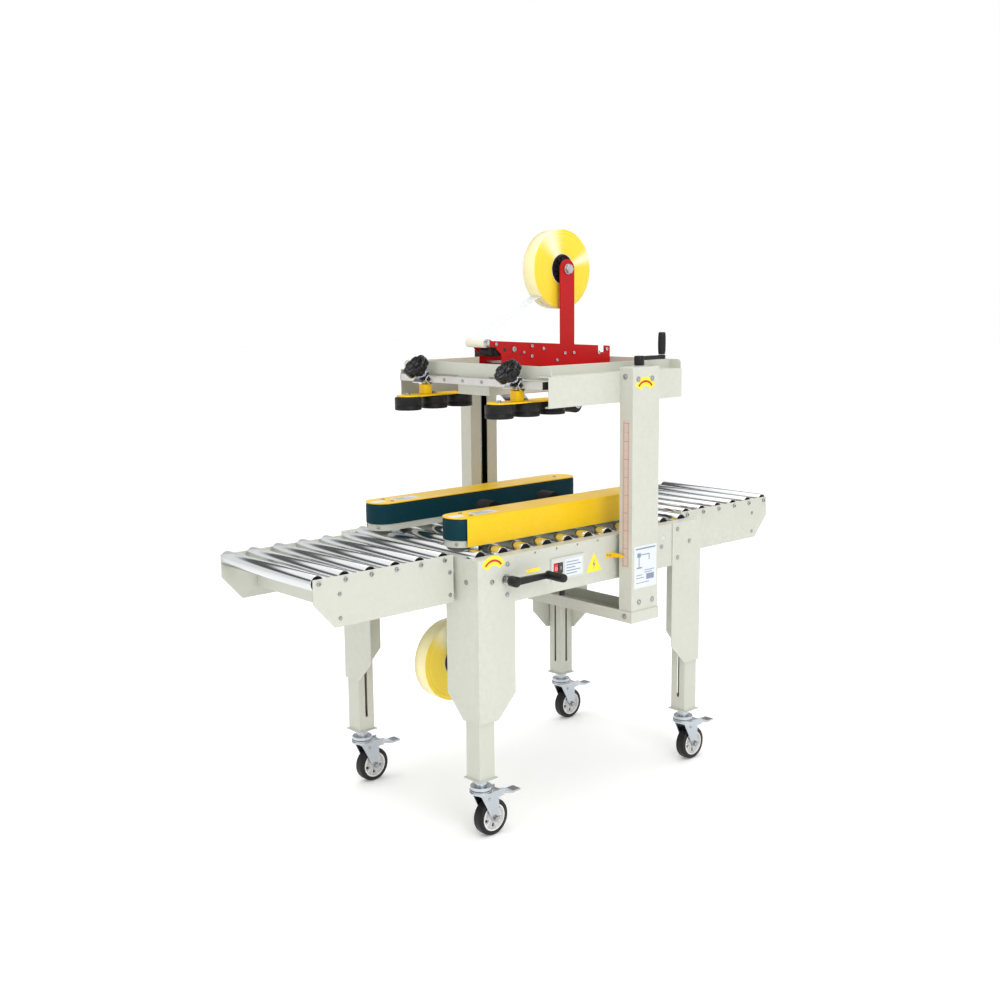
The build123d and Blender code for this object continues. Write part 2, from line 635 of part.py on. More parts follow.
# ---- upper tape head ----------------------------------------------------------------------------
UPPER_FRONT_PIVOT = (-75.0, 1172.0)
UPPER_FRONT_ROLLER = (0.0, 1104.0)
UPPER_REAR_PIVOT = (115.0, 1172.0)
UPPER_REAR_ROLLER = (190.0, 1104.0)
RED_LOW = 1150.0
RED_FRONT = -155.0
RED_REAR = 313.0
RED_FRONT_TOP = 1302.0
RED_REAR_TOP = 1274.0
GUIDE_ROLLER = (-170.0, 1296.0)


def red_top(x):
    """Height of the red plates' sloping upper edge."""
    share = (x - RED_FRONT) / (RED_REAR - RED_FRONT)
    return RED_FRONT_TOP + share * (RED_REAR_TOP - RED_FRONT_TOP)


def build_upper_head_frame():
    notch_top = red_top(RED_NOTCH_LEFT)
    notch_end = red_top(RED_NOTCH_RIGHT)
    shape = [
        (RED_FRONT, RED_FRONT_TOP),
        (RED_FRONT + RED_EAR_STEP, RED_EAR_LOW),
        (RED_FRONT + RED_STEP, RED_STEP_LOW),
        (RED_FRONT + RED_STEP, RED_LOW),
        (RED_REAR, RED_LOW),
        (RED_REAR, RED_REAR_TOP),
        (RED_NOTCH_RIGHT, notch_end),
        (RED_NOTCH_RIGHT, notch_end - RED_NOTCH_DEEP),
        (RED_NOTCH_LEFT, notch_top - RED_NOTCH_DEEP),
        (RED_NOTCH_LEFT, notch_top),
    ]
    plate = outline_along_y(shape, -HEAD_PLATE_Y - SHEET, -HEAD_PLATE_Y)
    # The guide roller sits ahead of the plates on two short ears.
    ear = [
        (RED_FRONT + EAR_LAP, RED_FRONT_TOP - EAR_TOP_DROP),
        (GUIDE_ROLLER[0], GUIDE_ROLLER[1] + EAR_HALF),
        (GUIDE_ROLLER[0], GUIDE_ROLLER[1] - EAR_HALF),
        (RED_FRONT + RED_EAR_STEP + EAR_LAP, RED_EAR_LOW + EAR_TOP_DROP),
    ]
    plate += outline_along_y(ear, -HEAD_PLATE_Y - SHEET, -HEAD_PLATE_Y)
    pieces = [plate, flip_y(plate)]
    for at in UPPER_HEAD_RODS + (UPPER_FRONT_PIVOT, UPPER_REAR_PIVOT):
        pieces.append(rod("Y", at, ARM_PIVOT_R, -HEAD_PLATE_Y, HEAD_PLATE_Y))
    pieces.append(rod("Y", GUIDE_ROLLER, GUIDE_ROLLER_R, -HEAD_PLATE_Y, HEAD_PLATE_Y))
    # The roll post stands on the near plate's inner face.
    pieces += roll_post(UPPER_ROLL, UPPER_ROLL[0], UPPER_POST_FOOT)
    save("upper_head_frame", *pieces)


# ---- lifting gantry -----------------------------------------------------------------------------
def column():
    """The near column: a channel with lips that leave a slot towards the conveyor."""
    half = COLUMN_WIDTH / 2
    slot = COLUMN_SLOT / 2
    y0 = -COLUMN_OUTER_Y
    y1 = -COLUMN_INNER_Y
    z0 = COLUMN_BASE + SHEET
    shell = block(LIFT_X - half, LIFT_X + half, y0, y1, z0, COLUMN_TOP)
    shell -= block(LIFT_X - half + SHEET, LIFT_X + half - SHEET, y0 + SHEET, y1 - SHEET, z0, COLUMN_TOP)
    shell -= block(LIFT_X - slot, LIFT_X + slot, y1 - SHEET, y1, z0, COLUMN_TOP)
    cap = block(LIFT_X - half, LIFT_X + half, y0, y1, COLUMN_TOP, COLUMN_TOP + SHEET)
    cap -= rod("Z", (LIFT_X, -LIFT_SCREW_Y), LIFT_SCREW_R + FIT, COLUMN_TOP, COLUMN_TOP + SHEET)
    return shell + cap


def build_columns():
    near = column()
    save("lift_columns", near, flip_y(near))


def build_base_channel():
    half = COLUMN_WIDTH / 2
    x0 = LIFT_X - half - SHEET
    x1 = LIFT_X + half + SHEET
    top = COLUMN_BASE + BASE_HEIGHT
    reach = COLUMN_OUTER_Y + SHEET
    base = block(x0, x1, -reach, reach, COLUMN_BASE, top)
    base -= block(x0 + SHEET, x1 - SHEET, -COLUMN_OUTER_Y, COLUMN_OUTER_Y, COLUMN_BASE + SHEET, top)
    save("base_channel", base)


def guide_carriage():
    """Solids on the near beam: pad, neck through the column's slot, and four blocks round the screw."""
    neck = COLUMN_SLOT / 2 - GAP
    half = COLUMN_WIDTH / 2 - SHEET - CARRIAGE_INSET
    low = BEAM_LOW + CARRIAGE_INSET
    high = BED_TOP - CARRIAGE_INSET
    face = -COLUMN_INNER_Y + GAP
    inner = -(COLUMN_INNER_Y + SHEET + GAP)
    outer = -(LIFT_SCREW_Y + LIFT_SCREW_R + NUT_WALL)
    grip = LIFT_SCREW_R + FIT
    pad = block(LIFT_X - CARRIAGE_PAD_HALF, LIFT_X + CARRIAGE_PAD_HALF, face, -BEAM_Y, low, high)
    through = block(LIFT_X - neck, LIFT_X + neck, inner, face, low, high)
    left = block(LIFT_X - half, LIFT_X - grip, outer, inner, low, high)
    right = block(LIFT_X + grip, LIFT_X + half, outer, inner, low, high)
    front = block(LIFT_X - grip, LIFT_X + grip, -LIFT_SCREW_Y + grip, inner, low, high)
    back = block(LIFT_X - grip, LIFT_X + grip, outer, -LIFT_SCREW_Y - grip, low, high)
    return [pad, through, left, right, front, back]


def build_guide_carriages():
    near = guide_carriage()
    save("guide_carriages", *near, *[flip_y(piece) for piece in near])


def lift_screw():
    """Screw in the near column, from above the base channel to the seat of its crank above the cap."""
    return rod("Z", (LIFT_X, -LIFT_SCREW_Y), LIFT_SCREW_R, COLUMN_BASE + 3 * SHEET, COLUMN_TOP + 2 * SHEET)


def build_lift_drive():
    seat = COLUMN_TOP + 2 * SHEET
    handle = crank(CRANK_HUB, LIFT_CRANK_ARM, LIFT_GRIP_R, LIFT_GRIP_LENGTH)
    handle = Pos(LIFT_X, -LIFT_SCREW_Y, seat + CRANK_HUB / 2) * handle
    save("column_crank", lift_screw(), handle)
    knob = rod("Z", (LIFT_X, -LIFT_SCREW_Y), LIFT_SCREW_R + SHEET, seat, seat + SCREW_CAP_HEIGHT)
    save("far_lift_screw", flip_y(lift_screw()), flip_y(knob))


def side_arm():
    """The near side arm: a web with flanges and an upstand on its inner edge."""
    y0 = -COLUMN_INNER_Y
    y1 = y0 + SHEET
    arm = block(ARM_FRONT, ARM_REAR, y0, y1, ARM_BOTTOM, ARM_TOP)
    inner = y1 + ARM_FLANGE
    arm += block(ARM_FRONT, ARM_REAR, y1, inner, ARM_TOP - SHEET, ARM_TOP)
    arm += block(ARM_FRONT + FRONT_INSET, ARM_REAR, inner - SHEET, inner, ARM_TOP - SHEET, UPSTAND_TOP)
    foot_in = inner + FOOT_PAST
    foot = make_face(Polyline(
        (ARM_FRONT, y1), (ARM_FRONT, y1 + FRONT_INSET), (ARM_FRONT + FOOT_CORNER, foot_in),
        (ARM_REAR, foot_in), (ARM_REAR, y1), close=True))
    arm += extrude(Plane.XY.offset(ARM_BOTTOM) * foot, amount=SHEET)
    return arm


def cross_member(x0, low):
    """A plate across the head frame with rounded upper corners."""
    reach = COLUMN_INNER_Y - SHEET
    plate = block(x0, x0 + SHEET, -reach, reach, low, UPSTAND_TOP)
    corners = plate.edges().filter_by(Axis.X).group_by(Axis.Z)[-1]
    return fillet(corners, UPSTAND_CORNER)


def build_head_frame():
    arm = side_arm()
    front_x = ARM_FRONT + FRONT_INSET
    frame = arm + flip_y(arm)
    frame += cross_member(front_x, SHELF_Z)
    frame += cross_member(ARM_REAR - SHEET, ARM_BOTTOM + SHEET)
    # Shelf flange, and the open box that the upper tape head hangs in.
    reach = COLUMN_INNER_Y - SHEET
    frame += block(front_x, front_x + SHELF_DEPTH, -reach, reach, SHELF_Z, SHELF_Z + SHEET)
    frame += block(front_x, front_x + SHEET, -DROP_HALF, DROP_HALF, DROP_LOW, SHELF_Z)
    for side in (-1, 1):
        frame += block(front_x, DROP_REAR, side * DROP_HALF, side * (DROP_HALF - SHEET), DROP_LOW, SHELF_Z)
    frame += block(front_x, RED_FRONT + RED_STEP, -DROP_HALF, DROP_HALF, DROP_LOW, DROP_LOW + SHEET)
    seat = HEAD_PLATE_Y + REAR_SEAT_PAST
    frame += block(RED_REAR, ARM_REAR, -seat, seat, REAR_SEAT_Z, REAR_SEAT_Z + SHEET)
    save("head_frame", frame)


def build_press_bar():
    half = PRESS_BAR / 2
    reach = PRESS_BAR_LENGTH / 2
    low, high = PRESS_BAR_Z - half, PRESS_BAR_Z + half
    bar = block(PRESS_BAR_X - half, PRESS_BAR_X + half, -reach, reach, low, high)
    bar -= block(ARM_FRONT, PRESS_BAR_X + half, -reach, reach, PRESS_BAR_Z + half - 1, PRESS_BAR_Z + half)
    save("press_bar", bar)


def press_unit():
    """Near side press unit: sleeve on the bar, post, plate and three rubber rollers."""
    y = -PRESS_Y
    bore = PRESS_BAR / 2 + GAP
    sleeve_half = PRESS_BAR / 2 + SLEEVE_WALL
    at_bar = Pos(PRESS_BAR_X, y, PRESS_BAR_Z)
    sleeve = at_bar * Box(2 * sleeve_half, SLEEVE_LENGTH, 2 * sleeve_half)
    sleeve -= at_bar * Box(2 * bore, SLEEVE_LENGTH, 2 * bore)
    sleeve_end = SLEEVE_LENGTH / 2
    sleeve -= block(PRESS_BAR_X + bore, PRESS_BAR_X + sleeve_half, y - sleeve_end, y + sleeve_end,
                    PRESS_BAR_Z - bore, PRESS_BAR_Z + sleeve_half)
    plate_z = PRESS_ROLLER_BASE + PRESS_ROLLER_H + PRESS_PLATE_GAP
    plate_top = plate_z + PRESS_PLATE
    post_half = PRESS_POST / 2
    post_x = PRESS_BAR_X - PRESS_POST_AHEAD
    unit = sleeve + block(post_x - post_half, post_x + post_half, y - post_half, y + post_half,
                          plate_z, PRESS_BAR_Z - sleeve_half)
    last_x = PRESS_FIRST_X + 2 * PRESS_PITCH
    unit += stadium(PRESS_FIRST_X - PRESS_PLATE_R, last_x + PRESS_PLATE_R, y, PRESS_PLATE_R,
                    plate_z, plate_top)
    for index in range(3):
        at = (PRESS_FIRST_X + index * PRESS_PITCH, y)
        unit += rod("Z", at, PRESS_ROLLER_R, PRESS_ROLLER_BASE, PRESS_ROLLER_BASE + PRESS_ROLLER_H)
        unit += rod("Z", at, PRESS_BOLT_R, PRESS_ROLLER_BASE, plate_top + PRESS_BOLT_PAST)
    # The clamp knob leans back over the bar.
    tilt = Pos(PRESS_BAR_X - sleeve_half, y, PRESS_BAR_Z + PRESS_BAR / 2) * Rot(0, -45, 0)
    unit += tilt * Pos(0, 0, KNOB_FOOT / 2) * Cylinder(KNOB_STEM_R, KNOB_FOOT)
    unit += tilt * Pos(0, 0, KNOB_FOOT + KNOB_THICK / 2) * Cylinder(KNOB_R, KNOB_THICK)
    return unit


# ---- side belt units ----------------------------------------------------------------------------
def belt_bracket(x):
    """Slider under a belt unit that reaches down between the rollers to the width rods."""
    y0 = -BELT_Y - SLIDER_HALF
    y1 = -BELT_Y + SLIDER_HALF
    slider = block(x - SLIDER_NECK, x + SLIDER_NECK, y0, y1, WIDTH_ROD_Z - WIDTH_ROD_R, BELT_BASE_Z)
    slider += block(x - SLIDER_FRONT, x + SLIDER_REAR, y0, y1, SLIDER_LOW, SLIDER_HIGH)
    slider -= rod("Y", (x, WIDTH_ROD_Z), WIDTH_ROD_R + FIT, y0, y1)
    return slider


def belt_unit():
    """Near belt unit without its belt: base tray, belt guides, top plate, side cover, sliders."""
    y = -BELT_Y
    tray_top = BELT_LOW_Z - GAP
    tray_r = BELT_END_R - TRAY_INSET
    tray_front = BELT_FRONT + TRAY_INSET
    tray_rear = BELT_REAR - TRAY_INSET
    tray = stadium(tray_front, tray_rear, y, tray_r, BELT_BASE_Z, tray_top)
    tray -= stadium(tray_front + SHEET, tray_rear - SHEET, y, tray_r - SHEET, BELT_BASE_Z + SHEET, tray_top)
    unit = tray + stadium(BELT_FRONT, BELT_REAR, y, BELT_END_R, BELT_TOP_Z - SHEET, BELT_TOP_Z)
    guide = BELT_END_R - BELT_THICKNESS - GAP
    for side in (-1, 1):
        y0 = y + side * guide
        y1 = y0 - side * SHEET
        x0 = BELT_FRONT + 2 * BELT_END_R + GUIDE_GAP
        x1 = BELT_REAR - 2 * BELT_END_R - GUIDE_GAP
        unit += block(x0, x1, y0, y1, BELT_LOW_Z, BELT_TOP_Z - SHEET)
        unit += block(x0, x1, y1, y1 - side * GUIDE_FLANGE, BELT_LOW_Z, BELT_LOW_Z + SHEET)
    for x in BELT_POSTS:
        unit += rod("Z", (x, y), BELT_POST_R, BELT_BASE_Z, BELT_TOP_Z - SHEET)
        unit += block(x - BELT_POST_HALF, x + BELT_POST_HALF, y - guide, y + guide,
                      BELT_LOW_Z, BELT_LOW_Z + BELT_POST_FOOT)
    unit += block(COVER_FRONT, COVER_REAR, -COVER_Y, y, BELT_TOP_Z - SHEET, BELT_TOP_Z)
    unit += block(COVER_FRONT, COVER_REAR, -COVER_Y, -COVER_Y + COVER_SHEET, COVER_LOW_Z, BELT_TOP_Z)
    infeed = belt_bracket(INFEED_ROD_X)
    infeed -= rod("Y", (SIDE_CRANK_X, SIDE_CRANK_Z), WIDTH_ROD_R + FIT, y - SLIDER_HALF, y + SLIDER_HALF)
    return unit + infeed + belt_bracket(OUTFEED_ROD_X)


def belt_pulleys():
    y = -BELT_Y
    pulley_r = BELT_END_R - BELT_THICKNESS
    pulleys = []
    for x in (BELT_FRONT + BELT_END_R, BELT_REAR - BELT_END_R):
        pulley = rod("Z", (x, y), pulley_r, BELT_LOW_Z, BELT_HIGH_Z)
        pulleys.append(pulley + rod("Z", (x, y), AXLE_R, BELT_BASE_Z + SHEET, BELT_TOP_Z - SHEET))
    return pulleys


def belt_loop():
    y = -BELT_Y
    loop = stadium(BELT_FRONT, BELT_REAR, y, BELT_END_R, BELT_LOW_Z, BELT_HIGH_Z)
    inner = BELT_END_R - BELT_THICKNESS
    front, rear = BELT_FRONT + BELT_THICKNESS, BELT_REAR - BELT_THICKNESS
    loop -= stadium(front, rear, y, inner, BELT_LOW_Z, BELT_HIGH_Z)
    return loop


def build_belt_units():
    unit = belt_unit()
    belt = belt_loop()
    save("near_belt_unit", unit)
    save("far_belt_unit", flip_y(unit))
    save("near_belt", belt)
    save("far_belt", flip_y(belt))
    pulleys = belt_pulleys()
    save("near_belt_pulleys", *pulleys)
    save("far_belt_pulleys", *[flip_y(pulley) for pulley in pulleys])


def build_width_drive():
    reach = BEAM_Y
    rods = []
    for x in (INFEED_ROD_X, OUTFEED_ROD_X):
        rods.append(rod("Y", (x, WIDTH_ROD_Z), WIDTH_ROD_R, -reach, reach))
    save("width_rods", *rods)
    hub_y = -HALF_WIDTH - SIDE_CRANK_STANDOFF - CRANK_HUB / 2
    grip = SIDE_CRANK_REACH + hub_y - CRANK_HUB / 2
    handle = crank(CRANK_HUB, SIDE_CRANK_ARM, SIDE_GRIP_R, grip)
    handle = Pos(SIDE_CRANK_X, hub_y, SIDE_CRANK_Z) * Rot(90, 0, 0) * handle
    hub_face = hub_y + CRANK_HUB / 2
    screw = rod("Y", (SIDE_CRANK_X, SIDE_CRANK_Z), WIDTH_ROD_R, hub_face, BEAM_Y - 2 * SHEET)
    save("side_crank", screw, handle)


# ---- controls and small parts -------------------------------------------------------------------
BUTTON_TRAVEL = 2.0
BUTTON_HALF_X = 8.0
BUTTON_HALF_Z = 14.0
WELL_FLOOR = 1.0
GLAND_INSET = 20.0
GLAND_NUT_R = 11.0
GLAND_NUT = 6.0
GLAND_R = 8.0
GLAND_LENGTH = 20.0
POINTER_LEFT = 30.5
POINTER_RIGHT = 62.5
POINTER_LOW = 698.0
POINTER_HIGH = 712.0
POINTER_REACH = 44.0
POINTER_SHEET = 2.0
STOP_X = -167.0
START_X = -149.0
BUTTON_Z = 699.0
SCREW_HEAD_R = 6.0
SCREW_HEAD = 4.0
LEG_SCREWS = ((103.0, 738.0), (50.0, 698.0), (103.0, 657.0))   # inset from the end of the body, and height
GLAND_X = -120.0            # cable gland under the near beam, behind the switches


def build_controls():
    y1 = -BEAM_Y
    y0 = y1 - SWITCH_DEPTH
    box = block(SWITCH_LEFT, SWITCH_RIGHT, y0, y1, SWITCH_LOW, SWITCH_HIGH)
    for x in (STOP_X, START_X):
        box -= block(x - BUTTON_HALF_X, x + BUTTON_HALF_X, y0, y1 - WELL_FLOOR,
                     BUTTON_Z - BUTTON_HALF_Z, BUTTON_Z + BUTTON_HALF_Z)
    gland_at = (GLAND_X, -BEAM_Y + GLAND_INSET)
    gland = rod("Z", gland_at, GLAND_NUT_R, BEAM_LOW - GLAND_NUT, BEAM_LOW)
    gland += rod("Z", gland_at, GLAND_R, BEAM_LOW - GLAND_LENGTH, BEAM_LOW - GLAND_NUT)
    save("switch_box", box, gland)
    for name, x in (("stop_button", STOP_X), ("start_button", START_X)):
        button = block(x - BUTTON_HALF_X + GAP, x + BUTTON_HALF_X - GAP,
                       y0 - WELL_FLOOR, y1 - WELL_FLOOR - BUTTON_TRAVEL,
                       BUTTON_Z - BUTTON_HALF_Z + GAP, BUTTON_Z + BUTTON_HALF_Z - GAP)
        save(name, button)
    pointer = block(POINTER_LEFT, POINTER_RIGHT, -BEAM_Y - POINTER_SHEET, -BEAM_Y, POINTER_LOW, POINTER_HIGH)
    blade = [(-BEAM_Y, POINTER_LOW), (-BEAM_Y - POINTER_REACH, (POINTER_LOW + POINTER_HIGH) / 2),
             (-BEAM_Y, POINTER_HIGH)]
    pointer += outline_along_x(blade, POINTER_RIGHT - POINTER_SHEET, POINTER_RIGHT)
    save("height_pointer", pointer)


def build_frame_screws():
    """Round-head screws of the near and far faces of the legs."""
    screws = []
    for side_x in (-1, 1):
        for inset, z in LEG_SCREWS:
            at = (side_x * (HALF_BED - inset), z)
            near = rod("Y", at, SCREW_HEAD_R, -HALF_WIDTH - SCREW_HEAD, -HALF_WIDTH)
            screws += [near, flip_y(near)]
    save("frame_screws", *screws)


def main():
    os.makedirs("parts", exist_ok=True)
    build_bed_frame()
    build_outer_legs()
    build_inner_legs()
    for label_x, side_x in (("infeed", -1), ("outfeed", 1)):
        for label_y, side_y in (("near", -1), ("far", 1)):
            build_caster(label_y + "_" + label_x + "_caster", side_x, side_y)
    build_tables()
    build_table_rollers()
    build_roller_axles()
    build_bed_rollers()
    build_lower_head_frame()
    save("lower_front_arm", swing_arm(LOWER_FRONT_PIVOT, LOWER_FRONT_ROLLER))
    save("lower_rear_arm", swing_arm(LOWER_REAR_PIVOT, LOWER_REAR_ROLLER))
    save("lower_tape_roll", tape_roll(LOWER_ROLL))
    build_upper_head_frame()
    save("upper_front_arm", swing_arm(UPPER_FRONT_PIVOT, UPPER_FRONT_ROLLER))
    save("upper_rear_arm", swing_arm(UPPER_REAR_PIVOT, UPPER_REAR_ROLLER))
    save("upper_tape_roll", tape_roll(UPPER_ROLL))
    build_columns()
    build_base_channel()
    build_guide_carriages()
    build_lift_drive()
    build_head_frame()
    build_press_bar()
    unit = press_unit()
    save("near_press_unit", unit)
    save("far_press_unit", flip_y(unit))
    build_belt_units()
    build_width_drive()
    build_controls()
    build_frame_screws()


main()
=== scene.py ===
import math

import bmesh
import bpy
from mathutils import Matrix, Vector

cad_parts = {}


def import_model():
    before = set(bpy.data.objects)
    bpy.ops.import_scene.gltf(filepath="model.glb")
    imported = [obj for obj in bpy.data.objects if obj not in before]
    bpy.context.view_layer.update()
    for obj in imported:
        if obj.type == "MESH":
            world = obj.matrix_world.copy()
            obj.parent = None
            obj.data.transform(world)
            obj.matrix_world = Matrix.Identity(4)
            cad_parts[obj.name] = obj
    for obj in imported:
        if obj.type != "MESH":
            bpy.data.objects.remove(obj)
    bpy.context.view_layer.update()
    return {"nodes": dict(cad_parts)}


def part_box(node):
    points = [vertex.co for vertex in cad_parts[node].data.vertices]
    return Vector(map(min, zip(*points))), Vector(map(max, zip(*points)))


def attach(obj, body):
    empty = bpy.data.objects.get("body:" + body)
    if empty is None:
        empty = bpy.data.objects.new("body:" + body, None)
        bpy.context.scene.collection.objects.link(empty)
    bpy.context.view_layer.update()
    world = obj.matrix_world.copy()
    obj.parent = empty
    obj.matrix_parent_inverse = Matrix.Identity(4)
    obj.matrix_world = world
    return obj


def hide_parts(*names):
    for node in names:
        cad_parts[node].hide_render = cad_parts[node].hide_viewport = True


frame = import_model()

# Lengths below are millimetres from the conveyor's centre line; scene units are metres.
MM = 0.001
table_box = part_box("table_frames")
CENTRE_Y = (table_box[0][1] + table_box[1][1]) / 2
HALF_BED = 444.0
HALF_WIDTH = 300.0
BEAM_Y = 297.0
SHEET = 3.0
TAU = 2 * math.pi


def world(point):
    """A place in millimetres, as the frame's metres."""
    return Vector((point[0] * MM, point[1] * MM + CENTRE_Y, point[2] * MM))


def span(node):
    """A node's box at rest, in millimetres from the centre line."""
    low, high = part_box(node)
    return ([low[0] / MM, (low[1] - CENTRE_Y) / MM, low[2] / MM],
            [high[0] / MM, (high[1] - CENTRE_Y) / MM, high[2] / MM])


# ---- shader groups ------------------------------------------------------------------------------
def new_group(name, inputs, outputs):
    """inputs: name, kind, default. Returns the group with its input and output nodes."""
    group = bpy.data.node_groups.new(name, "ShaderNodeTree")
    for label, kind, default in inputs:
        socket = group.interface.new_socket(label, in_out="INPUT", socket_type=kind)
        socket.default_value = default
    for label, kind in outputs:
        group.interface.new_socket(label, in_out="OUTPUT", socket_type=kind)
    return group, group.nodes.new("NodeGroupInput"), group.nodes.new("NodeGroupOutput")


def noise_node(nodes, links, vector, scale, detail, roughness=0.55):
    noise = nodes.new("ShaderNodeTexNoise")
    noise.inputs["Detail"].default_value = detail
    noise.inputs["Roughness"].default_value = roughness
    links.new(vector, noise.inputs["Vector"])
    if isinstance(scale, (int, float)):
        noise.inputs["Scale"].default_value = scale
    else:
        links.new(scale, noise.inputs["Scale"])
    return noise


def ranged(nodes, links, value, low_in, high_in, low_out, high_out):
    node = nodes.new("ShaderNodeMapRange")
    links.new(value, node.inputs["Value"])
    for label, number in (("From Min", low_in), ("From Max", high_in), ("To Min", low_out),
                          ("To Max", high_out)):
        if isinstance(number, (int, float)):
            node.inputs[label].default_value = number
        else:
            links.new(number, node.inputs[label])
    return node.outputs["Result"]


def blended(nodes, links, share, first, second):
    node = nodes.new("ShaderNodeMix")
    node.data_type = "RGBA"
    links.new(share, node.inputs[0])
    for index, colour in ((6, first), (7, second)):
        if isinstance(colour, tuple):
            node.inputs[index].default_value = colour
        else:
            links.new(colour, node.inputs[index])
    return node.outputs[2]


def build_finish_group():
    """Broad tone change, fine grain, brighter worn edges and soft dirt for any hard surface."""
    group, entry, leave = new_group(
        "worn_finish",
        [("Colour", "NodeSocketColor", (0.8, 0.8, 0.8, 1)),
         ("Edge Colour", "NodeSocketColor", (0.9, 0.9, 0.9, 1)),
         ("Dirt Colour", "NodeSocketColor", (0.3, 0.28, 0.25, 1)),
         ("Edge Wear", "NodeSocketFloat", 0.3),
         ("Dirt", "NodeSocketFloat", 0.1),
         ("Grain Scale", "NodeSocketFloat", 900.0),
         ("Grain Depth", "NodeSocketFloat", 0.1),
         ("Rough Low", "NodeSocketFloat", 0.3),
         ("Rough High", "NodeSocketFloat", 0.45)],
        [("Colour", "NodeSocketColor"), ("Roughness", "NodeSocketFloat"), ("Normal", "NodeSocketVector")])
    nodes, links = group.nodes, group.links
    place = nodes.new("ShaderNodeTexCoord").outputs["Object"]
    broad = noise_node(nodes, links, place, 6.0, 4).outputs["Fac"]
    fine = noise_node(nodes, links, place, entry.outputs["Grain Scale"], 2).outputs["Fac"]
    scuffs = noise_node(nodes, links, place, 60.0, 6, 0.7).outputs["Fac"]
    tip = nodes.new("ShaderNodeNewGeometry").outputs["Pointiness"]
    edge = ranged(nodes, links, tip, 0.515, 0.60, 0.0, 1.0)
    broken = ranged(nodes, links, scuffs, 0.35, 0.65, 0.0, 1.0)
    wear = nodes.new("ShaderNodeMath")
    wear.operation = "MULTIPLY"
    links.new(edge, wear.inputs[0])
    links.new(broken, wear.inputs[1])
    worn = nodes.new("ShaderNodeMath")
    worn.operation = "MULTIPLY"
    links.new(wear.outputs[0], worn.inputs[0])
    links.new(entry.outputs["Edge Wear"], worn.inputs[1])
    dirt_mask = ranged(nodes, links, broad, 0.45, 0.75, 0.0, 1.0)
    dirt = nodes.new("ShaderNodeMath")
    dirt.operation = "MULTIPLY"
    links.new(dirt_mask, dirt.inputs[0])
    links.new(entry.outputs["Dirt"], dirt.inputs[1])
    soiled = blended(nodes, links, dirt.outputs[0], entry.outputs["Colour"], entry.outputs["Dirt Colour"])
    final = blended(nodes, links, worn.outputs[0], soiled, entry.outputs["Edge Colour"])
    links.new(final, leave.inputs["Colour"])
    rough = ranged(nodes, links, broad, 0.3, 0.7, entry.outputs["Rough Low"], entry.outputs["Rough High"])
    links.new(rough, leave.inputs["Roughness"])
    bump = nodes.new("ShaderNodeBump")
    bump.inputs["Distance"].default_value = 0.0004
    links.new(entry.outputs["Grain Depth"], bump.inputs["Strength"])
    links.new(fine, bump.inputs["Height"])
    links.new(bump.outputs["Normal"], leave.inputs["Normal"])
    return group


FINISH = build_finish_group()


def finish_material(name, colour, edge, dirt_colour=(0.25, 0.24, 0.22), wear=0.3, dirt=0.1, grain=900.0,
                    depth=0.1, rough=(0.3, 0.45), metallic=0.0, coat=0.0, coat_rough=0.1,
                    specular=0.5):
    material = bpy.data.materials.new(name)
    material.use_nodes = True
    nodes, links = material.node_tree.nodes, material.node_tree.links
    shader = nodes["Principled BSDF"]
    shader.inputs["Metallic"].default_value = metallic
    shader.inputs["Coat Weight"].default_value = coat
    shader.inputs["Coat Roughness"].default_value = coat_rough
    shader.inputs["Specular IOR Level"].default_value = specular
    group = nodes.new("ShaderNodeGroup")
    group.node_tree = FINISH
    group.inputs["Colour"].default_value = (*colour, 1)
    group.inputs["Edge Colour"].default_value = (*edge, 1)
    group.inputs["Dirt Colour"].default_value = (*dirt_colour, 1)
    group.inputs["Edge Wear"].default_value = wear
    group.inputs["Dirt"].default_value = dirt
    group.inputs["Grain Scale"].default_value = grain
    group.inputs["Grain Depth"].default_value = depth
    group.inputs["Rough Low"].default_value = rough[0]
    group.inputs["Rough High"].default_value = rough[1]
    links.new(group.outputs["Colour"], shader.inputs["Base Color"])
    links.new(group.outputs["Roughness"], shader.inputs["Roughness"])
    links.new(group.outputs["Normal"], shader.inputs["Normal"])
    return material


CREAM = finish_material("cream_powder_coat", (0.565, 0.575, 0.50), (0.72, 0.73, 0.66), wear=0.35, dirt=0.05,
                        grain=1400.0, depth=0.18, rough=(0.36, 0.48))
YELLOW = finish_material("safety_yellow_coat", (0.88, 0.55, 0.0), (1.0, 0.72, 0.1), wear=0.3, dirt=0.04,
                         grain=1100.0, depth=0.1, rough=(0.3, 0.4), specular=0.25)
RED = finish_material("signal_red_coat", (0.47, 0.0, 0.001), (0.6, 0.02, 0.02), wear=0.25, dirt=0.04,
                      grain=1100.0, depth=0.1, rough=(0.34, 0.44), specular=0.22)
CHROME = finish_material("chrome_tube", (0.66, 0.67, 0.68), (0.80, 0.81, 0.82), (0.45, 0.44, 0.42),
                         wear=0.2, dirt=0.12, grain=500.0, depth=0.03, rough=(0.09, 0.2), metallic=1.0)
ZINC = finish_material("bright_zinc", (0.50, 0.54, 0.58), (0.80, 0.81, 0.83), (0.38, 0.37, 0.35), wear=0.4,
                       dirt=0.2, grain=700.0, depth=0.1, rough=(0.2, 0.36), metallic=1.0)
STEEL = finish_material("screw_steel", (0.36, 0.37, 0.37), (0.62, 0.62, 0.62), (0.12, 0.12, 0.12), wear=0.5,
                        dirt=0.25, grain=900.0, depth=0.12, rough=(0.22, 0.38), metallic=1.0)
ALUMINIUM = finish_material("brushed_bar", (0.62, 0.61, 0.58), (0.85, 0.85, 0.83), (0.35, 0.33, 0.3),
                            wear=0.3, dirt=0.2, grain=350.0, depth=0.12, rough=(0.22, 0.4), metallic=1.0)
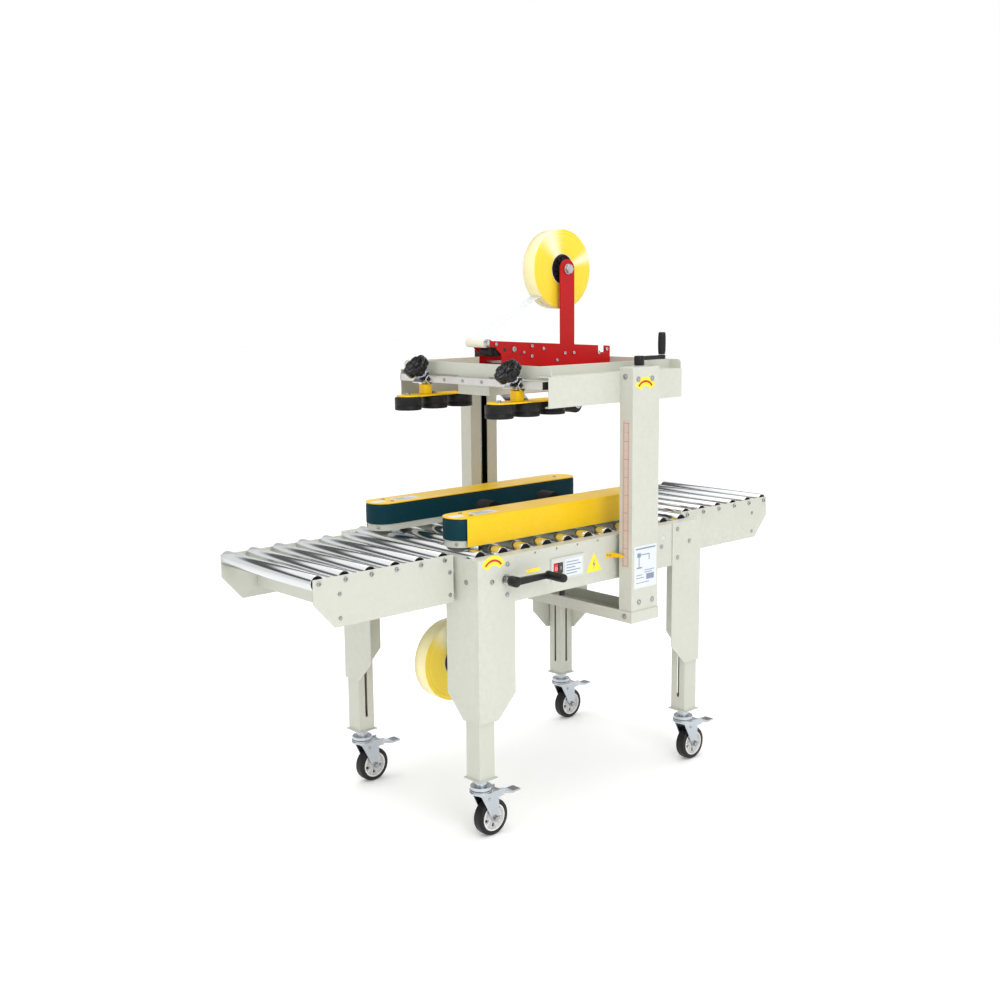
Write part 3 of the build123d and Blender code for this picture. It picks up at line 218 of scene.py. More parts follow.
RUBBER = finish_material("black_rubber", (0.005, 0.005, 0.006), (0.03, 0.03, 0.03), (0.02, 0.019, 0.018),
                         wear=0.35, dirt=0.25, grain=1200.0, depth=0.2, rough=(0.4, 0.55), specular=0.25)
TYRE = finish_material("tyre_rubber", (0.006, 0.006, 0.007), (0.03, 0.03, 0.03), (0.03, 0.028, 0.026),
                       wear=0.3, dirt=0.3, grain=900.0, depth=0.2, rough=(0.36, 0.5), specular=0.3)
PLASTIC = finish_material("black_moulding", (0.006, 0.006, 0.007), (0.04, 0.04, 0.042), (0.02, 0.02, 0.02),
                          wear=0.4, dirt=0.15, grain=1600.0, depth=0.25, rough=(0.34, 0.46), specular=0.3)
GLOSS_PLASTIC = finish_material("gloss_moulding", (0.004, 0.004, 0.005), (0.03, 0.03, 0.032),
                                (0.01, 0.01, 0.01), wear=0.3, dirt=0.1, grain=1600.0, depth=0.1,
                                rough=(0.16, 0.24), specular=0.3)
# Painted shade: a near-black finish put in slots, holes, recesses and gaps, and on parts inside them, where
# there is only shade.
PAINTED_SHADE = finish_material("painted_shade_inside", (0.01, 0.01, 0.01), (0.03, 0.03, 0.03), wear=0.1, dirt=0.1,
                           grain=800.0, depth=0.1, rough=(0.55, 0.7))
WHITE_HUB = finish_material("white_hub", (0.76, 0.76, 0.75), (0.9, 0.9, 0.9), (0.35, 0.33, 0.3), wear=0.2,
                            dirt=0.15, grain=900.0, depth=0.1, rough=(0.25, 0.38), coat=0.15)
GREY_CASE = finish_material("grey_case", (0.60, 0.61, 0.58), (0.75, 0.75, 0.73), wear=0.2, dirt=0.08,
                            grain=1500.0, depth=0.25, rough=(0.38, 0.5))
BUTTON_RED = finish_material("red_button", (0.62, 0.006, 0.006), (0.8, 0.1, 0.1), wear=0.2, dirt=0.05,
                             grain=900.0, depth=0.05, rough=(0.15, 0.25), coat=0.3)
BUTTON_BLACK = finish_material("black_button", (0.012, 0.012, 0.012), (0.08, 0.08, 0.08), wear=0.2,
                               dirt=0.05, grain=900.0, depth=0.05, rough=(0.15, 0.25), coat=0.3)
IVORY = finish_material("ivory_roller", (0.80, 0.76, 0.64), (0.9, 0.87, 0.78), wear=0.15, dirt=0.08,
                        grain=800.0, depth=0.08, rough=(0.3, 0.42))
LABEL_WHITE = finish_material("white_label", (0.70, 0.74, 0.77), (0.9, 0.9, 0.9), wear=0.1, dirt=0.05,
                              grain=700.0, depth=0.03, rough=(0.3, 0.4))
LABEL_YELLOW = finish_material("yellow_label", (0.95, 0.78, 0.02), (1.0, 0.88, 0.2), wear=0.1, dirt=0.03,
                               grain=700.0, depth=0.03, rough=(0.28, 0.4))
LABEL_RED = finish_material("red_print", (0.55, 0.02, 0.01), (0.6, 0.05, 0.04), wear=0.1, dirt=0.03,
                            grain=700.0, depth=0.03, rough=(0.3, 0.4))
LABEL_INK = finish_material("dark_print", (0.22, 0.27, 0.38), (0.1, 0.1, 0.1), wear=0.1, dirt=0.03,
                            grain=700.0, depth=0.03, rough=(0.35, 0.45))
LABEL_SCALE = finish_material("scale_film", (0.62, 0.52, 0.45), (0.7, 0.62, 0.55), wear=0.1, dirt=0.05,
                              grain=700.0, depth=0.03, rough=(0.3, 0.4))
LABEL_PINK = finish_material("ruler_print", (0.50, 0.10, 0.08), (0.55, 0.2, 0.16), wear=0.1, dirt=0.03,
                             grain=700.0, depth=0.03, rough=(0.3, 0.4))


# Dark teal drive belt with a woven grain.
BELT = finish_material("teal_belt", (0.0, 0.036, 0.050), (0.01, 0.10, 0.12), (0.02, 0.05, 0.055), wear=0.35,
                       dirt=0.12, grain=1500.0, depth=0.4, rough=(0.5, 0.65), specular=0.15)


def tape_material():
    """Wound film: rings on the faces, a warm clear yellow that lets light in, a paler tread and a painted
    highlight in bright wedges on the faces.
    """
    material = bpy.data.materials.new("wound_tape")
    material.use_nodes = True
    nodes, links = material.node_tree.nodes, material.node_tree.links
    shader = nodes["Principled BSDF"]
    shader.inputs["Subsurface Weight"].default_value = 0.35
    shader.inputs["Subsurface Radius"].default_value = (0.05, 0.035, 0.01)
    shader.inputs["Coat Weight"].default_value = 0.2
    shader.inputs["Coat Roughness"].default_value = 0.12
    shader.inputs["Specular IOR Level"].default_value = 0.25
    ring = nodes.new("ShaderNodeAttribute")
    ring.attribute_name = "wind"
    wave = nodes.new("ShaderNodeTexNoise")
    wave.noise_dimensions = "1D"
    wave.inputs["Scale"].default_value = 40.0
    wave.inputs["Detail"].default_value = 8.0
    links.new(ring.outputs["Fac"], wave.inputs["W"])
    tone = blended(nodes, links, ranged(nodes, links, wave.outputs["Fac"], 0.35, 0.7, 0.0, 1.0),
                   (0.88, 0.62, 0.02, 1), (0.94, 0.74, 0.07, 1))
    # Painted highlight: bright wedges on the faces, and the paler tread, mixed towards pale yellow from a
    # vertex attribute.
    pale_tread_and_painted_highlight = nodes.new("ShaderNodeAttribute")
    pale_tread_and_painted_highlight.attribute_name = "pale_tread_and_painted_highlight"
    tone = blended(nodes, links, pale_tread_and_painted_highlight.outputs["Fac"], tone, (0.98, 0.93, 0.66, 1))
    links.new(tone, shader.inputs["Base Color"])
    links.new(ranged(nodes, links, wave.outputs["Fac"], 0.3, 0.7, 0.16, 0.34), shader.inputs["Roughness"])
    bump = nodes.new("ShaderNodeBump")
    bump.inputs["Strength"].default_value = 0.25
    bump.inputs["Distance"].default_value = 0.0004
    links.new(wave.outputs["Fac"], bump.inputs["Height"])
    links.new(bump.outputs["Normal"], shader.inputs["Normal"])
    return material


TAPE = tape_material()


def film_material():
    """The single layer of clear tape between the roll and the head."""
    material = finish_material("clear_film", (0.86, 0.89, 0.93), (0.9, 0.92, 0.95), wear=0.0, dirt=0.02,
                               grain=200.0, depth=0.05, rough=(0.2, 0.3), specular=0.1)
    shader = material.node_tree.nodes["Principled BSDF"]
    shader.inputs["Alpha"].default_value = 0.5
    return material


FILM = film_material()


# ---- mesh helpers -------------------------------------------------------------------------------
def piece(name, bm, materials, body, smooth=35.0, bevel=0.0, steps=2):
    """Turns a millimetre bmesh into an object that rides on a body."""
    bmesh.ops.remove_doubles(bm, verts=bm.verts, dist=0.001)
    bmesh.ops.recalc_face_normals(bm, faces=bm.faces)
    for vert in bm.verts:
        vert.co = world(vert.co)
    mesh = bpy.data.meshes.new(name)
    bm.to_mesh(mesh)
    bm.free()
    for material in materials:
        mesh.materials.append(material)
    mesh.polygons.foreach_set("use_smooth", [True] * len(mesh.polygons))
    mesh.set_sharp_from_angle(angle=math.radians(smooth))
    obj = bpy.data.objects.new(name, mesh)
    bpy.context.scene.collection.objects.link(obj)
    if bevel:
        add_bevel(obj, bevel, steps)
    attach(obj, body)
    return obj


def add_bevel(obj, width, steps=2):
    bevel = obj.modifiers.new("soft_edges", "BEVEL")
    bevel.width = width * MM
    bevel.segments = steps
    bevel.limit_method = "ANGLE"
    bevel.angle_limit = math.radians(40)
    bevel.harden_normals = True
    bevel.use_clamp_overlap = True


def box(bm, low, high, mat=0, turn=None, about=None):
    """A rectangular block between two corners."""
    made = bmesh.ops.create_cube(bm, size=1.0)["verts"]
    size = Vector(high) - Vector(low)
    middle = (Vector(high) + Vector(low)) / 2
    for vert in made:
        vert.co = Vector(vert.co[i] * size[i] + middle[i] for i in range(3))
    paint(made, mat)
    return turned(made, turn, about)


def paint(verts, mat):
    chosen = set(verts)
    for face in {face for vert in verts for face in vert.link_faces}:
        if all(vert in chosen for vert in face.verts):
            face.material_index = mat


def turned(verts, turn, about):
    """turn is an angle in degrees and an axis letter, about a point."""
    if turn:
        spin = Matrix.Rotation(math.radians(turn[0]), 4, turn[1])
        centre = Vector(about)
        for vert in verts:
            vert.co = spin @ (vert.co - centre) + centre
    return verts


def axis_point(axis, at, along, radius, angle):
    """A point on a circle about a line through at that runs along X, Y or Z."""
    a = radius * math.cos(angle)
    b = radius * math.sin(angle)
    if axis == "X":
        return Vector((at[0] + along, at[1] + a, at[2] + b))
    if axis == "Y":
        return Vector((at[0] + a, at[1] + along, at[2] + b))
    return Vector((at[0] + a, at[1] + b, at[2] + along))


def lathe(bm, axis, at, profile, segments=48, mat=0, wobble=None):
    """Turns a profile of (radius, distance along the axis) about a line; ends on the axis close it."""
    rings = []
    for radius, along in profile:
        if radius < 1e-6:
            rings.append([bm.verts.new(axis_point(axis, at, along, 0, 0))])
            continue
        ring = []
        for index in range(segments):
            angle = TAU * index / segments
            reach = radius + (wobble(angle, along) if wobble else 0)
            ring.append(bm.verts.new(axis_point(axis, at, along, reach, angle)))
        rings.append(ring)
    made = [vert for ring in rings for vert in ring]
    for first, second in zip(rings, rings[1:]):
        for index in range(segments):
            after = (index + 1) % segments
            if len(first) == 1 and len(second) == 1:
                continue
            if len(first) == 1:
                corners = [first[0], second[index], second[after]]
            elif len(second) == 1:
                corners = [first[index], second[0], first[after]]
            else:
                corners = [first[index], second[index], second[after], first[after]]
            bm.faces.new(corners).material_index = mat
    return made


def bar(bm, axis, at, radius, start, end, segments=32, mat=0, round_by=0.0):
    """A solid round bar, with rounded rims where round_by is given."""
    if round_by:
        profile = [(0, start), (radius - round_by, start),
                   (radius - round_by * 0.3, start + round_by * 0.3),
                   (radius, start + round_by), (radius, end - round_by),
                   (radius - round_by * 0.3, end - round_by * 0.3), (radius - round_by, end), (0, end)]
    else:
        profile = [(0, start), (radius, start), (radius, end), (0, end)]
    return lathe(bm, axis, at, profile, segments, mat)


def prism(bm, plane, outline, low, high, mat=0, holes=()):
    """A flat outline in XZ, YZ or XY made solid; holes are (a, b, radius)."""
    def place(a, b, depth):
        if plane == "XZ":
            return Vector((a, depth, b))
        if plane == "YZ":
            return Vector((depth, a, b))
        return Vector((a, b, depth))

    def loop(points):
        verts = [bm.verts.new(place(a, b, low)) for a, b in points]
        return [bm.edges.new((verts[i], verts[(i + 1) % len(verts)])) for i in range(len(verts))]

    edges = loop(outline)
    for a, b, radius in holes:
        steps = 20
        edges += loop([(a + radius * math.cos(TAU * i / steps), b + radius * math.sin(TAU * i / steps))
                       for i in range(steps)])
    filled = bmesh.ops.triangle_fill(bm, edges=edges, use_beauty=True, use_dissolve=False)["geom"]
    faces = [item for item in filled if isinstance(item, bmesh.types.BMFace)]
    grown = bmesh.ops.extrude_face_region(bm, geom=faces, use_keep_orig=True)["geom"]
    shift = place(0, 0, high - low)
    for item in grown:
        if isinstance(item, bmesh.types.BMVert):
            item.co += shift
        if isinstance(item, bmesh.types.BMFace):
            item.material_index = mat
    verts = {vert for face in faces for vert in face.verts}
    verts |= {vert for vert in grown if isinstance(vert, bmesh.types.BMVert)}
    paint(verts, mat)
    return list(verts)


def arc(cx, cy, radius, start, end, steps):
    """Points of an arc, angles in degrees."""
    return [(cx + radius * math.cos(math.radians(start + (end - start) * i / steps)),
             cy + radius * math.sin(math.radians(start + (end - start) * i / steps)))
            for i in range(steps + 1)]


def slab_outline(x0, x1, y, radius, steps=16):
    """A stadium outline along X."""
    return arc(x1 - radius, y, radius, -90, 90, steps) + arc(x0 + radius, y, radius, 90, 270, steps)


def softened(node, material, width, body, other=None, chosen=None, steps=2):
    """A copy of a CAD node with its triangles merged and its edges rounded.

    chosen says, from a face's middle in millimetres and its normal, which faces take the other material."""
    bm = bmesh.new()
    bm.from_mesh(frame["nodes"][node].data)
    bmesh.ops.remove_doubles(bm, verts=bm.verts, dist=1e-6)
    bmesh.ops.dissolve_limit(bm, angle_limit=math.radians(1.5), verts=bm.verts, edges=bm.edges)
    for face in bm.faces:
        middle = face.calc_center_median()
        place = (middle.x / MM, (middle.y - CENTRE_Y) / MM, middle.z / MM)
        face.material_index = 1 if chosen and chosen(place, face.normal) else 0
    mesh = bpy.data.meshes.new(node + "_skin")
    bm.to_mesh(mesh)
    bm.free()
    mesh.materials.append(material)
    if other:
        mesh.materials.append(other)
    mesh.polygons.foreach_set("use_smooth", [True] * len(mesh.polygons))
    mesh.set_sharp_from_angle(angle=math.radians(30))
    obj = bpy.data.objects.new(node + "_skin", mesh)
    bpy.context.scene.collection.objects.link(obj)
    add_bevel(obj, width, steps)
    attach(obj, body)
    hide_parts(node)
    return obj


# ---- geometry nodes: one template repeated at points ----------------------------------------------
def repeat_tree():
    tree = bpy.data.node_groups.new("repeat_at_points", "GeometryNodeTree")
    face = tree.interface
    face.new_socket("Geometry", in_out="INPUT", socket_type="NodeSocketGeometry")
    face.new_socket("Part", in_out="INPUT", socket_type="NodeSocketObject")
    face.new_socket("Size", in_out="INPUT", socket_type="NodeSocketFloat").default_value = 1.0
    face.new_socket("Finish", in_out="INPUT", socket_type="NodeSocketMaterial")
    face.new_socket("Geometry", in_out="OUTPUT", socket_type="NodeSocketGeometry")
    nodes, links = tree.nodes, tree.links
    entry = nodes.new("NodeGroupInput")
    leave = nodes.new("NodeGroupOutput")
    turn = nodes.new("GeometryNodeInputNamedAttribute")
    turn.data_type = "FLOAT_VECTOR"
    turn.inputs["Name"].default_value = "turn"
    spin = nodes.new("FunctionNodeEulerToRotation")
    part = nodes.new("GeometryNodeObjectInfo")
    part.transform_space = "ORIGINAL"
    place = nodes.new("GeometryNodeInstanceOnPoints")
    real = nodes.new("GeometryNodeRealizeInstances")
    coat = nodes.new("GeometryNodeSetMaterial")
    points = nodes.new("GeometryNodeMeshToPoints")
    links.new(entry.outputs["Geometry"], points.inputs["Mesh"])
    links.new(points.outputs["Points"], place.inputs["Points"])
    links.new(entry.outputs["Part"], part.inputs["Object"])
    links.new(part.outputs["Geometry"], place.inputs["Instance"])
    links.new(turn.outputs["Attribute"], spin.inputs["Euler"])
    links.new(spin.outputs["Rotation"], place.inputs["Rotation"])
    links.new(entry.outputs["Size"], place.inputs["Scale"])
    links.new(place.outputs["Instances"], real.inputs["Geometry"])
    links.new(real.outputs["Geometry"], coat.inputs["Geometry"])
    links.new(entry.outputs["Finish"], coat.inputs["Material"])
    links.new(coat.outputs["Geometry"], leave.inputs["Geometry"])
    return tree


REPEAT = repeat_tree()


def template(name, build):
    """A template mesh about its own origin, in metres."""
    bm = bmesh.new()
    build(bm)
    bmesh.ops.recalc_face_normals(bm, faces=bm.faces)
    for vert in bm.verts:
        vert.co *= MM
    mesh = bpy.data.meshes.new(name)
    bm.to_mesh(mesh)
    bm.free()
    return bpy.data.objects.new(name, mesh)


def repeated(name, part, places, material, body, size=1.0, smooth=35.0):
    """places: (point in mm, turn in degrees about X, Y, Z) for each copy of the template."""
    mesh = bpy.data.meshes.new(name + "_points")
    mesh.from_pydata([world(point) for point, turn in places], [], [])
    turns = mesh.attributes.new("turn", "FLOAT_VECTOR", "POINT")
    for index, (point, turn) in enumerate(places):
        turns.data[index].vector = [math.radians(angle) for angle in turn]
    obj = bpy.data.objects.new(name, mesh)
    bpy.context.scene.collection.objects.link(obj)
    tool = obj.modifiers.new("repeat", "NODES")
    tool.node_group = REPEAT
    ids = {item.name: item.identifier for item in REPEAT.interface.items_tree if item.in_out == "INPUT"}
    tool[ids["Part"]] = part
    tool[ids["Size"]] = size
    tool[ids["Finish"]] = material
    graph = bpy.context.evaluated_depsgraph_get()
    made = bpy.data.meshes.new_from_object(obj.evaluated_get(graph))
    obj.modifiers.clear()
    obj.data = made
    made.name = name
    made.polygons.foreach_set("use_smooth", [True] * len(made.polygons))
    made.set_sharp_from_angle(angle=math.radians(smooth))
    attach(obj, body)
    return obj


def cross_screw(bm):
    """A pan-head screw with a cross recess and a washer, standing along +Z."""
    lathe(bm, "Z", (0, 0, 0), [(0, 0), (7.2, 0), (7.2, 1.0), (5.6, 1.2), (5.4, 2.4), (4.2, 3.6), (1.6, 4.0),
                               (1.2, 2.6), (0, 2.6)], 24)
    for angle in (0, 90):
        made = box(bm, (-3.0, -0.5, 3.35), (3.0, 0.5, 4.1))
        turned(made, (angle + 20, "Z"), (0, 0, 0))


def hex_screw(bm):
    """A flanged hexagon head with a washer, standing along +Z."""
    lathe(bm, "Z", (0, 0, 0), [(0, 0), (9, 0), (9, 1.4), (7.6, 1.6), (7.4, 2.4), (0, 2.4)], 24)
    lathe(bm, "Z", (0, 0, 0), [(0, 2.2), (6.6, 2.2), (6.6, 6.0), (5.6, 6.9), (0, 6.9)], 6)


def socket_screw(bm):
    """A cap screw with a socket, standing along +Z."""
    lathe(bm, "Z", (0, 0, 0), [(0, 0), (5, 0), (5, 3.6), (4.4, 4.2), (2.6, 4.2), (2.6, 1.6), (0, 1.6)], 20)


CROSS = template("cross_screw", cross_screw)
HEX = template("hex_screw", hex_screw)
SOCKET = template("socket_screw", socket_screw)
NEAR = (90, 0, 0)      # screws that stand towards -Y
FAR = (-90, 0, 0)
LEFT = (0, -90, 0)
RIGHT = (0, 90, 0)
UP = (0, 0, 0)
DOWN = (180, 0, 0)

# ---- scene: camera, floor, light ------------------------------------------------------------------
CAMERA_PLACE = (-2508.27, -2682.23, 1427.38)
CAMERA_AZIMUTH = -41.969
CAMERA_PITCH = 9.185
CAMERA_ROLL = -0.570
CAMERA_LENS = 45.62


def build_camera():
    azimuth = math.radians(CAMERA_AZIMUTH)
    pitch = math.radians(CAMERA_PITCH)
    roll = math.radians(CAMERA_ROLL)
    forward = Vector((-math.sin(azimuth) * math.cos(pitch), math.cos(azimuth) * math.cos(pitch),
                      -math.sin(pitch)))
    right = Vector((math.cos(azimuth), math.sin(azimuth), 0))
    up = right.cross(forward)
    side = right * math.cos(roll) + up * math.sin(roll)
    top = up * math.cos(roll) - right * math.sin(roll)
    data = bpy.data.cameras.new("camera")
    data.sensor_width = 36.0
    data.lens = CAMERA_LENS
    camera = bpy.data.objects.new("camera", data)
    bpy.context.scene.collection.objects.link(camera)
    turn = Matrix((side, top, -forward)).transposed().to_4x4()
    camera.matrix_world = Matrix.Translation(world(CAMERA_PLACE)) @ turn
    bpy.context.scene.camera = camera


FLOOR_REACH = 30.0           # metres each way
FLOOR_GLOW = 0.16


def build_floor():
    bm = bmesh.new()
    signs = ((-1, -1), (1, -1), (1, 1), (-1, 1))
    bm.faces.new([bm.verts.new((x * FLOOR_REACH, y * FLOOR_REACH, 0)) for x, y in signs])
    mesh = bpy.data.meshes.new("floor")
    bm.to_mesh(mesh)
    bm.free()
    material = bpy.data.materials.new("pale_floor")
    material.use_nodes = True
    shader = material.node_tree.nodes["Principled BSDF"]
    shader.inputs["Base Color"].default_value = (0.97, 0.97, 0.97, 1)
    shader.inputs["Roughness"].default_value = 0.9
    shader.inputs["Emission Color"].default_value = (1.0, 1.0, 1.0, 1)
    shader.inputs["Emission Strength"].default_value = FLOOR_GLOW
    mesh.materials.append(material)
    floor = bpy.data.objects.new("floor", mesh)
    bpy.context.scene.collection.objects.link(floor)


def area_light(name, place, target, size, power):
    data = bpy.data.lights.new(name, "AREA")
    data.shape = "RECTANGLE"
    data.size = size[0]
    data.size_y = size[1]
    data.energy = power
    light = bpy.data.objects.new(name, data)
    bpy.context.scene.collection.objects.link(light)
    aim = (Vector(target) - Vector(place)).to_track_quat("-Z", "Y")
    light.matrix_world = Matrix.Translation(place) @ aim.to_matrix().to_4x4()


# White all round the horizon, a grey band above it and a bright ceiling give bright metal its contrast.
SKY_TONES = ((0.0, 1.0), (0.28, 1.0), (0.36, 0.12), (0.56, 0.12), (0.68, 1.3), (1.0, 1.3))   # height, tone
LIGHT_TARGET = (0, 0, 0.8)
STUDIO_LIGHTS = (                                # name, place, size in metres, power in watts
    ("key", (-1.5, -4.0, 3.2), (2.5, 2.0), 75),
    ("fill", (-4.5, 0.5, 2.2), (2.0, 2.5), 12),
    ("top", (0.5, 0.5, 4.5), (3.0, 3.0), 40),
)


def build_light():
    bpy.context.scene.view_settings.view_transform = "Standard"
    background = bpy.context.scene.world or bpy.data.worlds.new("studio")
    bpy.context.scene.world = background
    background.use_nodes = True
    nodes, links = background.node_tree.nodes, background.node_tree.links
    shade = nodes["Background"]
    shade.inputs["Strength"].default_value = 1.0
    height = nodes.new("ShaderNodeSeparateXYZ")
    links.new(nodes.new("ShaderNodeTexCoord").outputs["Generated"], height.inputs["Vector"])
    band = nodes.new("ShaderNodeValToRGB")
    while len(band.color_ramp.elements) < len(SKY_TONES):
        band.color_ramp.elements.new(0.5)
    for element, (place, tone) in zip(band.color_ramp.elements, SKY_TONES):
        element.position = place
        element.color = (tone, tone, tone, 1)
    links.new(height.outputs["Z"], band.inputs["Fac"])
    links.new(band.outputs["Color"], shade.inputs["Color"])
    for name, place, size, power in STUDIO_LIGHTS:
        area_light(name, place, LIGHT_TARGET, size, power)


# ---- frame and legs -------------------------------------------------------------------------------
FOOT_TOP = 168.5
HEAD_PLATE_IN = 44.5
ROLL_POST_Y = -42.5
ROLL_POST_HALF = 3.0         # half of the roll post's thickness, with a margin
ROLL_POST_FOOT = 1200.0
ROLL_POST_SIDES = (107.0, 165.0)
ROLL_AXLE_ZONE = 20.0        # round the axle of the upper roll


def below_foot(place, normal):
    return place[2] < FOOT_TOP


def between_head_plates(place, normal):
    return abs(place[1]) < HEAD_PLATE_IN and abs(normal.y) < 0.9


def roll_axle_end(place, normal):
    off_axle = math.hypot(place[0] - UPPER_ROLL[0], place[2] - UPPER_ROLL[1])
    return off_axle < ROLL_AXLE_ZONE and abs(place[1] - ROLL_POST_Y) > ROLL_POST_HALF


def red_head_steel(place, normal):
    """Rods, guide roller and roll axle of the upper head are bright steel."""
    if roll_axle_end(place, normal):
        return True
    within = ROLL_POST_SIDES[0] < place[0] < ROLL_POST_SIDES[1] and ROLL_POST_FOOT < place[2]
    on_post = within and abs(place[1] - ROLL_POST_Y) < ROLL_POST_HALF
    return abs(place[1]) < HEAD_PLATE_IN and not on_post


def build_frame_skins():
    softened("bed_frame", CREAM, 0.9, "frame")
    softened("outer_legs", CREAM, 1.2, "frame")
    softened("table_frames", CREAM, 0.9, "frame")
    softened("lower_head_frame", CREAM, 0.9, "frame", ZINC, between_head_plates)
    softened("guide_carriages", ZINC, 1.0, "frame")
    softened("width_rods", CHROME, 0.8, "frame")
    softened("roller_axles", ZINC, 0.8, "frame")
    softened("inner_legs", CREAM, 1.2, "legs", ZINC, below_foot)
    softened("base_channel", CREAM, 1.2, "gantry")
    softened("lift_columns", CREAM, 1.2, "gantry")
    softened("head_frame", CREAM, 0.9, "gantry")
    softened("press_bar", ALUMINIUM, 0.8, "gantry")
    softened("upper_head_frame", RED, 0.7, "gantry", ZINC, red_head_steel)
    softened("far_lift_screw", STEEL, 0.5, "far_lift_screw")


LIFT_X = 122.5
COLUMN_HALF = 54.5
COLUMN_INNER_Y = 315.0
COLUMN_OUTER_Y = 363.0
COLUMN_BASE = 515.0
COLUMN_TOP = 1227.0
LIFT_SCREW_Y = 336.0


def build_column_liners():
    """Dark strips of painted shade behind the column slots, and the bearing collars on the caps."""
    bm = bmesh.new()
    wall = SHEET + 0.4
    for side in (-1, 1):
        y0 = side * (COLUMN_OUTER_Y - wall)
        y1 = side * (COLUMN_OUTER_Y - wall - 1)
        box(bm, (LIFT_X - COLUMN_HALF + wall, min(y0, y1), COLUMN_BASE + 5),
            (LIFT_X + COLUMN_HALF - wall, max(y0, y1), COLUMN_TOP - 1))
        for edge in (-1, 1):
            x0 = LIFT_X + edge * (COLUMN_HALF - wall)
            x1 = x0 - edge
            near = side * (COLUMN_INNER_Y + wall)
            box(bm, (min(x0, x1), min(near, y0), COLUMN_BASE + 5),
                (max(x0, x1), max(near, y0), COLUMN_TOP - 1))
    piece("column_liners", bm, [PAINTED_SHADE], "gantry")
    bm = bmesh.new()
    for side in (-1, 1):
        at = (LIFT_X, side * LIFT_SCREW_Y, COLUMN_TOP + SHEET)
        lathe(bm, "Z", at, [(8.4, 0), (15, 0), (15, 2), (8.4, 2)], 32)
    piece("lift_bearings", bm, [ZINC], "gantry")
    bm = bmesh.new()
    at = (LIFT_X, LIFT_SCREW_Y, COLUMN_TOP + SHEET + 3)
    lathe(bm, "Z", at, [(11.2, 0), (13, 1), (13, 27), (11.5, 29.5), (0, 29.5)], 32)
    piece("far_screw_cap", bm, [PLASTIC], "far_lift_screw", bevel=0.5)


# ---- castors --------------------------------------------------------------------------------------
WHEEL_R = 50.0
WHEEL_HALF = 16.0
CASTER_TRAIL = 33.0
HUB_RIM = 37.0
HUB_SPOKES = 10
HUB_SLOTS = 5
RACE_Z = 126.0
FORK_PIN = (12.0, 108.0)     # trail and height of the fork's upper pin
PEDAL_TRAIL = 24.0


def build_castor(label, x, y):
    """Tyre, hub and bearing of one wheel; fork and pedal keep their own shapes with softer edges."""
    axle = (x + CASTER_TRAIL, y, WHEEL_R)
    body = label + "_wheel"
    bm = bmesh.new()
    rim = HUB_RIM
    tread = [(rim, -WHEEL_HALF + 1), (rim + 3, -WHEEL_HALF), (WHEEL_R - 5, -WHEEL_HALF + 1.5)]
    tread += arc(WHEEL_R - 7, -WHEEL_HALF + 7, 6.9, -60, 0, 6)[1:]
    tread += [(WHEEL_R - 0.05, -4), (WHEEL_R - 0.05, 4)]
    tread += arc(WHEEL_R - 7, WHEEL_HALF - 7, 6.9, 0, 60, 6)[:-1]
    tread += [(WHEEL_R - 5, WHEEL_HALF - 1.5), (rim + 3, WHEEL_HALF), (rim, WHEEL_HALF - 1)]
    lathe(bm, "Y", axle, tread + [tread[0]], 72)
    tyre = piece(body + "_tyre", bm, [TYRE], body)
    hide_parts(label + "_wheel")
    bm = bmesh.new()
    hub = [(rim + 0.4, -WHEEL_HALF + 1.2), (rim - 4, -WHEEL_HALF + 0.6), (rim - 6, -6), (17, -5), (15, -14),
           (9, -14.5), (9, 14.5), (15, 14), (17, 5), (rim - 6, 6), (rim - 4, WHEEL_HALF - 0.6),
           (rim + 0.4, WHEEL_HALF - 1.2)]
    lathe(bm, "Y", axle, hub + [hub[0]], 64)
    for index in range(HUB_SPOKES):
        made = box(bm, (axle[0] + 15, y - 11, WHEEL_R - 1.6), (axle[0] + rim - 5, y + 11, WHEEL_R + 1.6))
        turned(made, (index * 360 / HUB_SPOKES, "Y"), axle)
    piece(body + "_hub", bm, [WHITE_HUB], body, bevel=0.5)
    # Painted shade: dark blocks in the hub slots and a dark ring in the axle bore.
    bm = bmesh.new()
    for index in range(HUB_SLOTS):
        for side in (-1, 1):
            made = box(bm, (axle[0] + 19, y + side * 6 - 0.6, WHEEL_R - 4.2),
                       (axle[0] + 28, y + side * 6 + 0.6, WHEEL_R + 4.2))
            turned(made, (index * 360 / HUB_SLOTS + 18, "Y"), axle)
    lathe(bm, "Y", axle, [(5.3, -14.9), (9.2, -14.9), (9.2, 14.9), (5.3, 14.9)], 32)
    piece(body + "_slots", bm, [PAINTED_SHADE], body)
    build_fork(label, x, y, axle)
    build_pedal(label, axle)


def build_fork(label, x, y, axle):
    softened(label + "_fork", ZINC, 1.1, label + "_fork", steps=3)
    bm = bmesh.new()
    reach = WHEEL_HALF + 5
    for side in (-1, 1):
        at = (axle[0], y + side * reach, WHEEL_R)
        lathe(bm, "Y", at, [(0, 0), (9, 0), (9, side * 1.5), (0, side * 1.5)], 24)
        lathe(bm, "Y", at, [(0, side * 1.4), (7.5, side * 1.4), (7.5, side * 6.5), (6, side * 7.6),
                            (0, side * 7.6)], 6)
        pin = (x + FORK_PIN[0], y + side * reach, FORK_PIN[1])
        lathe(bm, "Y", pin, [(0, 0), (5, 0), (4, side * 1.6), (0, side * 2)], 20)
    piece(label + "_axle_nuts", bm, [STEEL], label + "_fork")
    bm = bmesh.new()
    at = (x, y, RACE_Z)
    lathe(bm, "Z", at, [(24, -0.5), (30.5, -0.5), (31.5, 1.5), (31.5, 3.5), (30, 5.2), (26, 5.4), (26, 7.6),
                        (30, 7.8), (31, 9), (29, 9.8), (24, 9.8), (24, -0.5)], 56)
    piece(label + "_race", bm, [ZINC], label + "_fork")


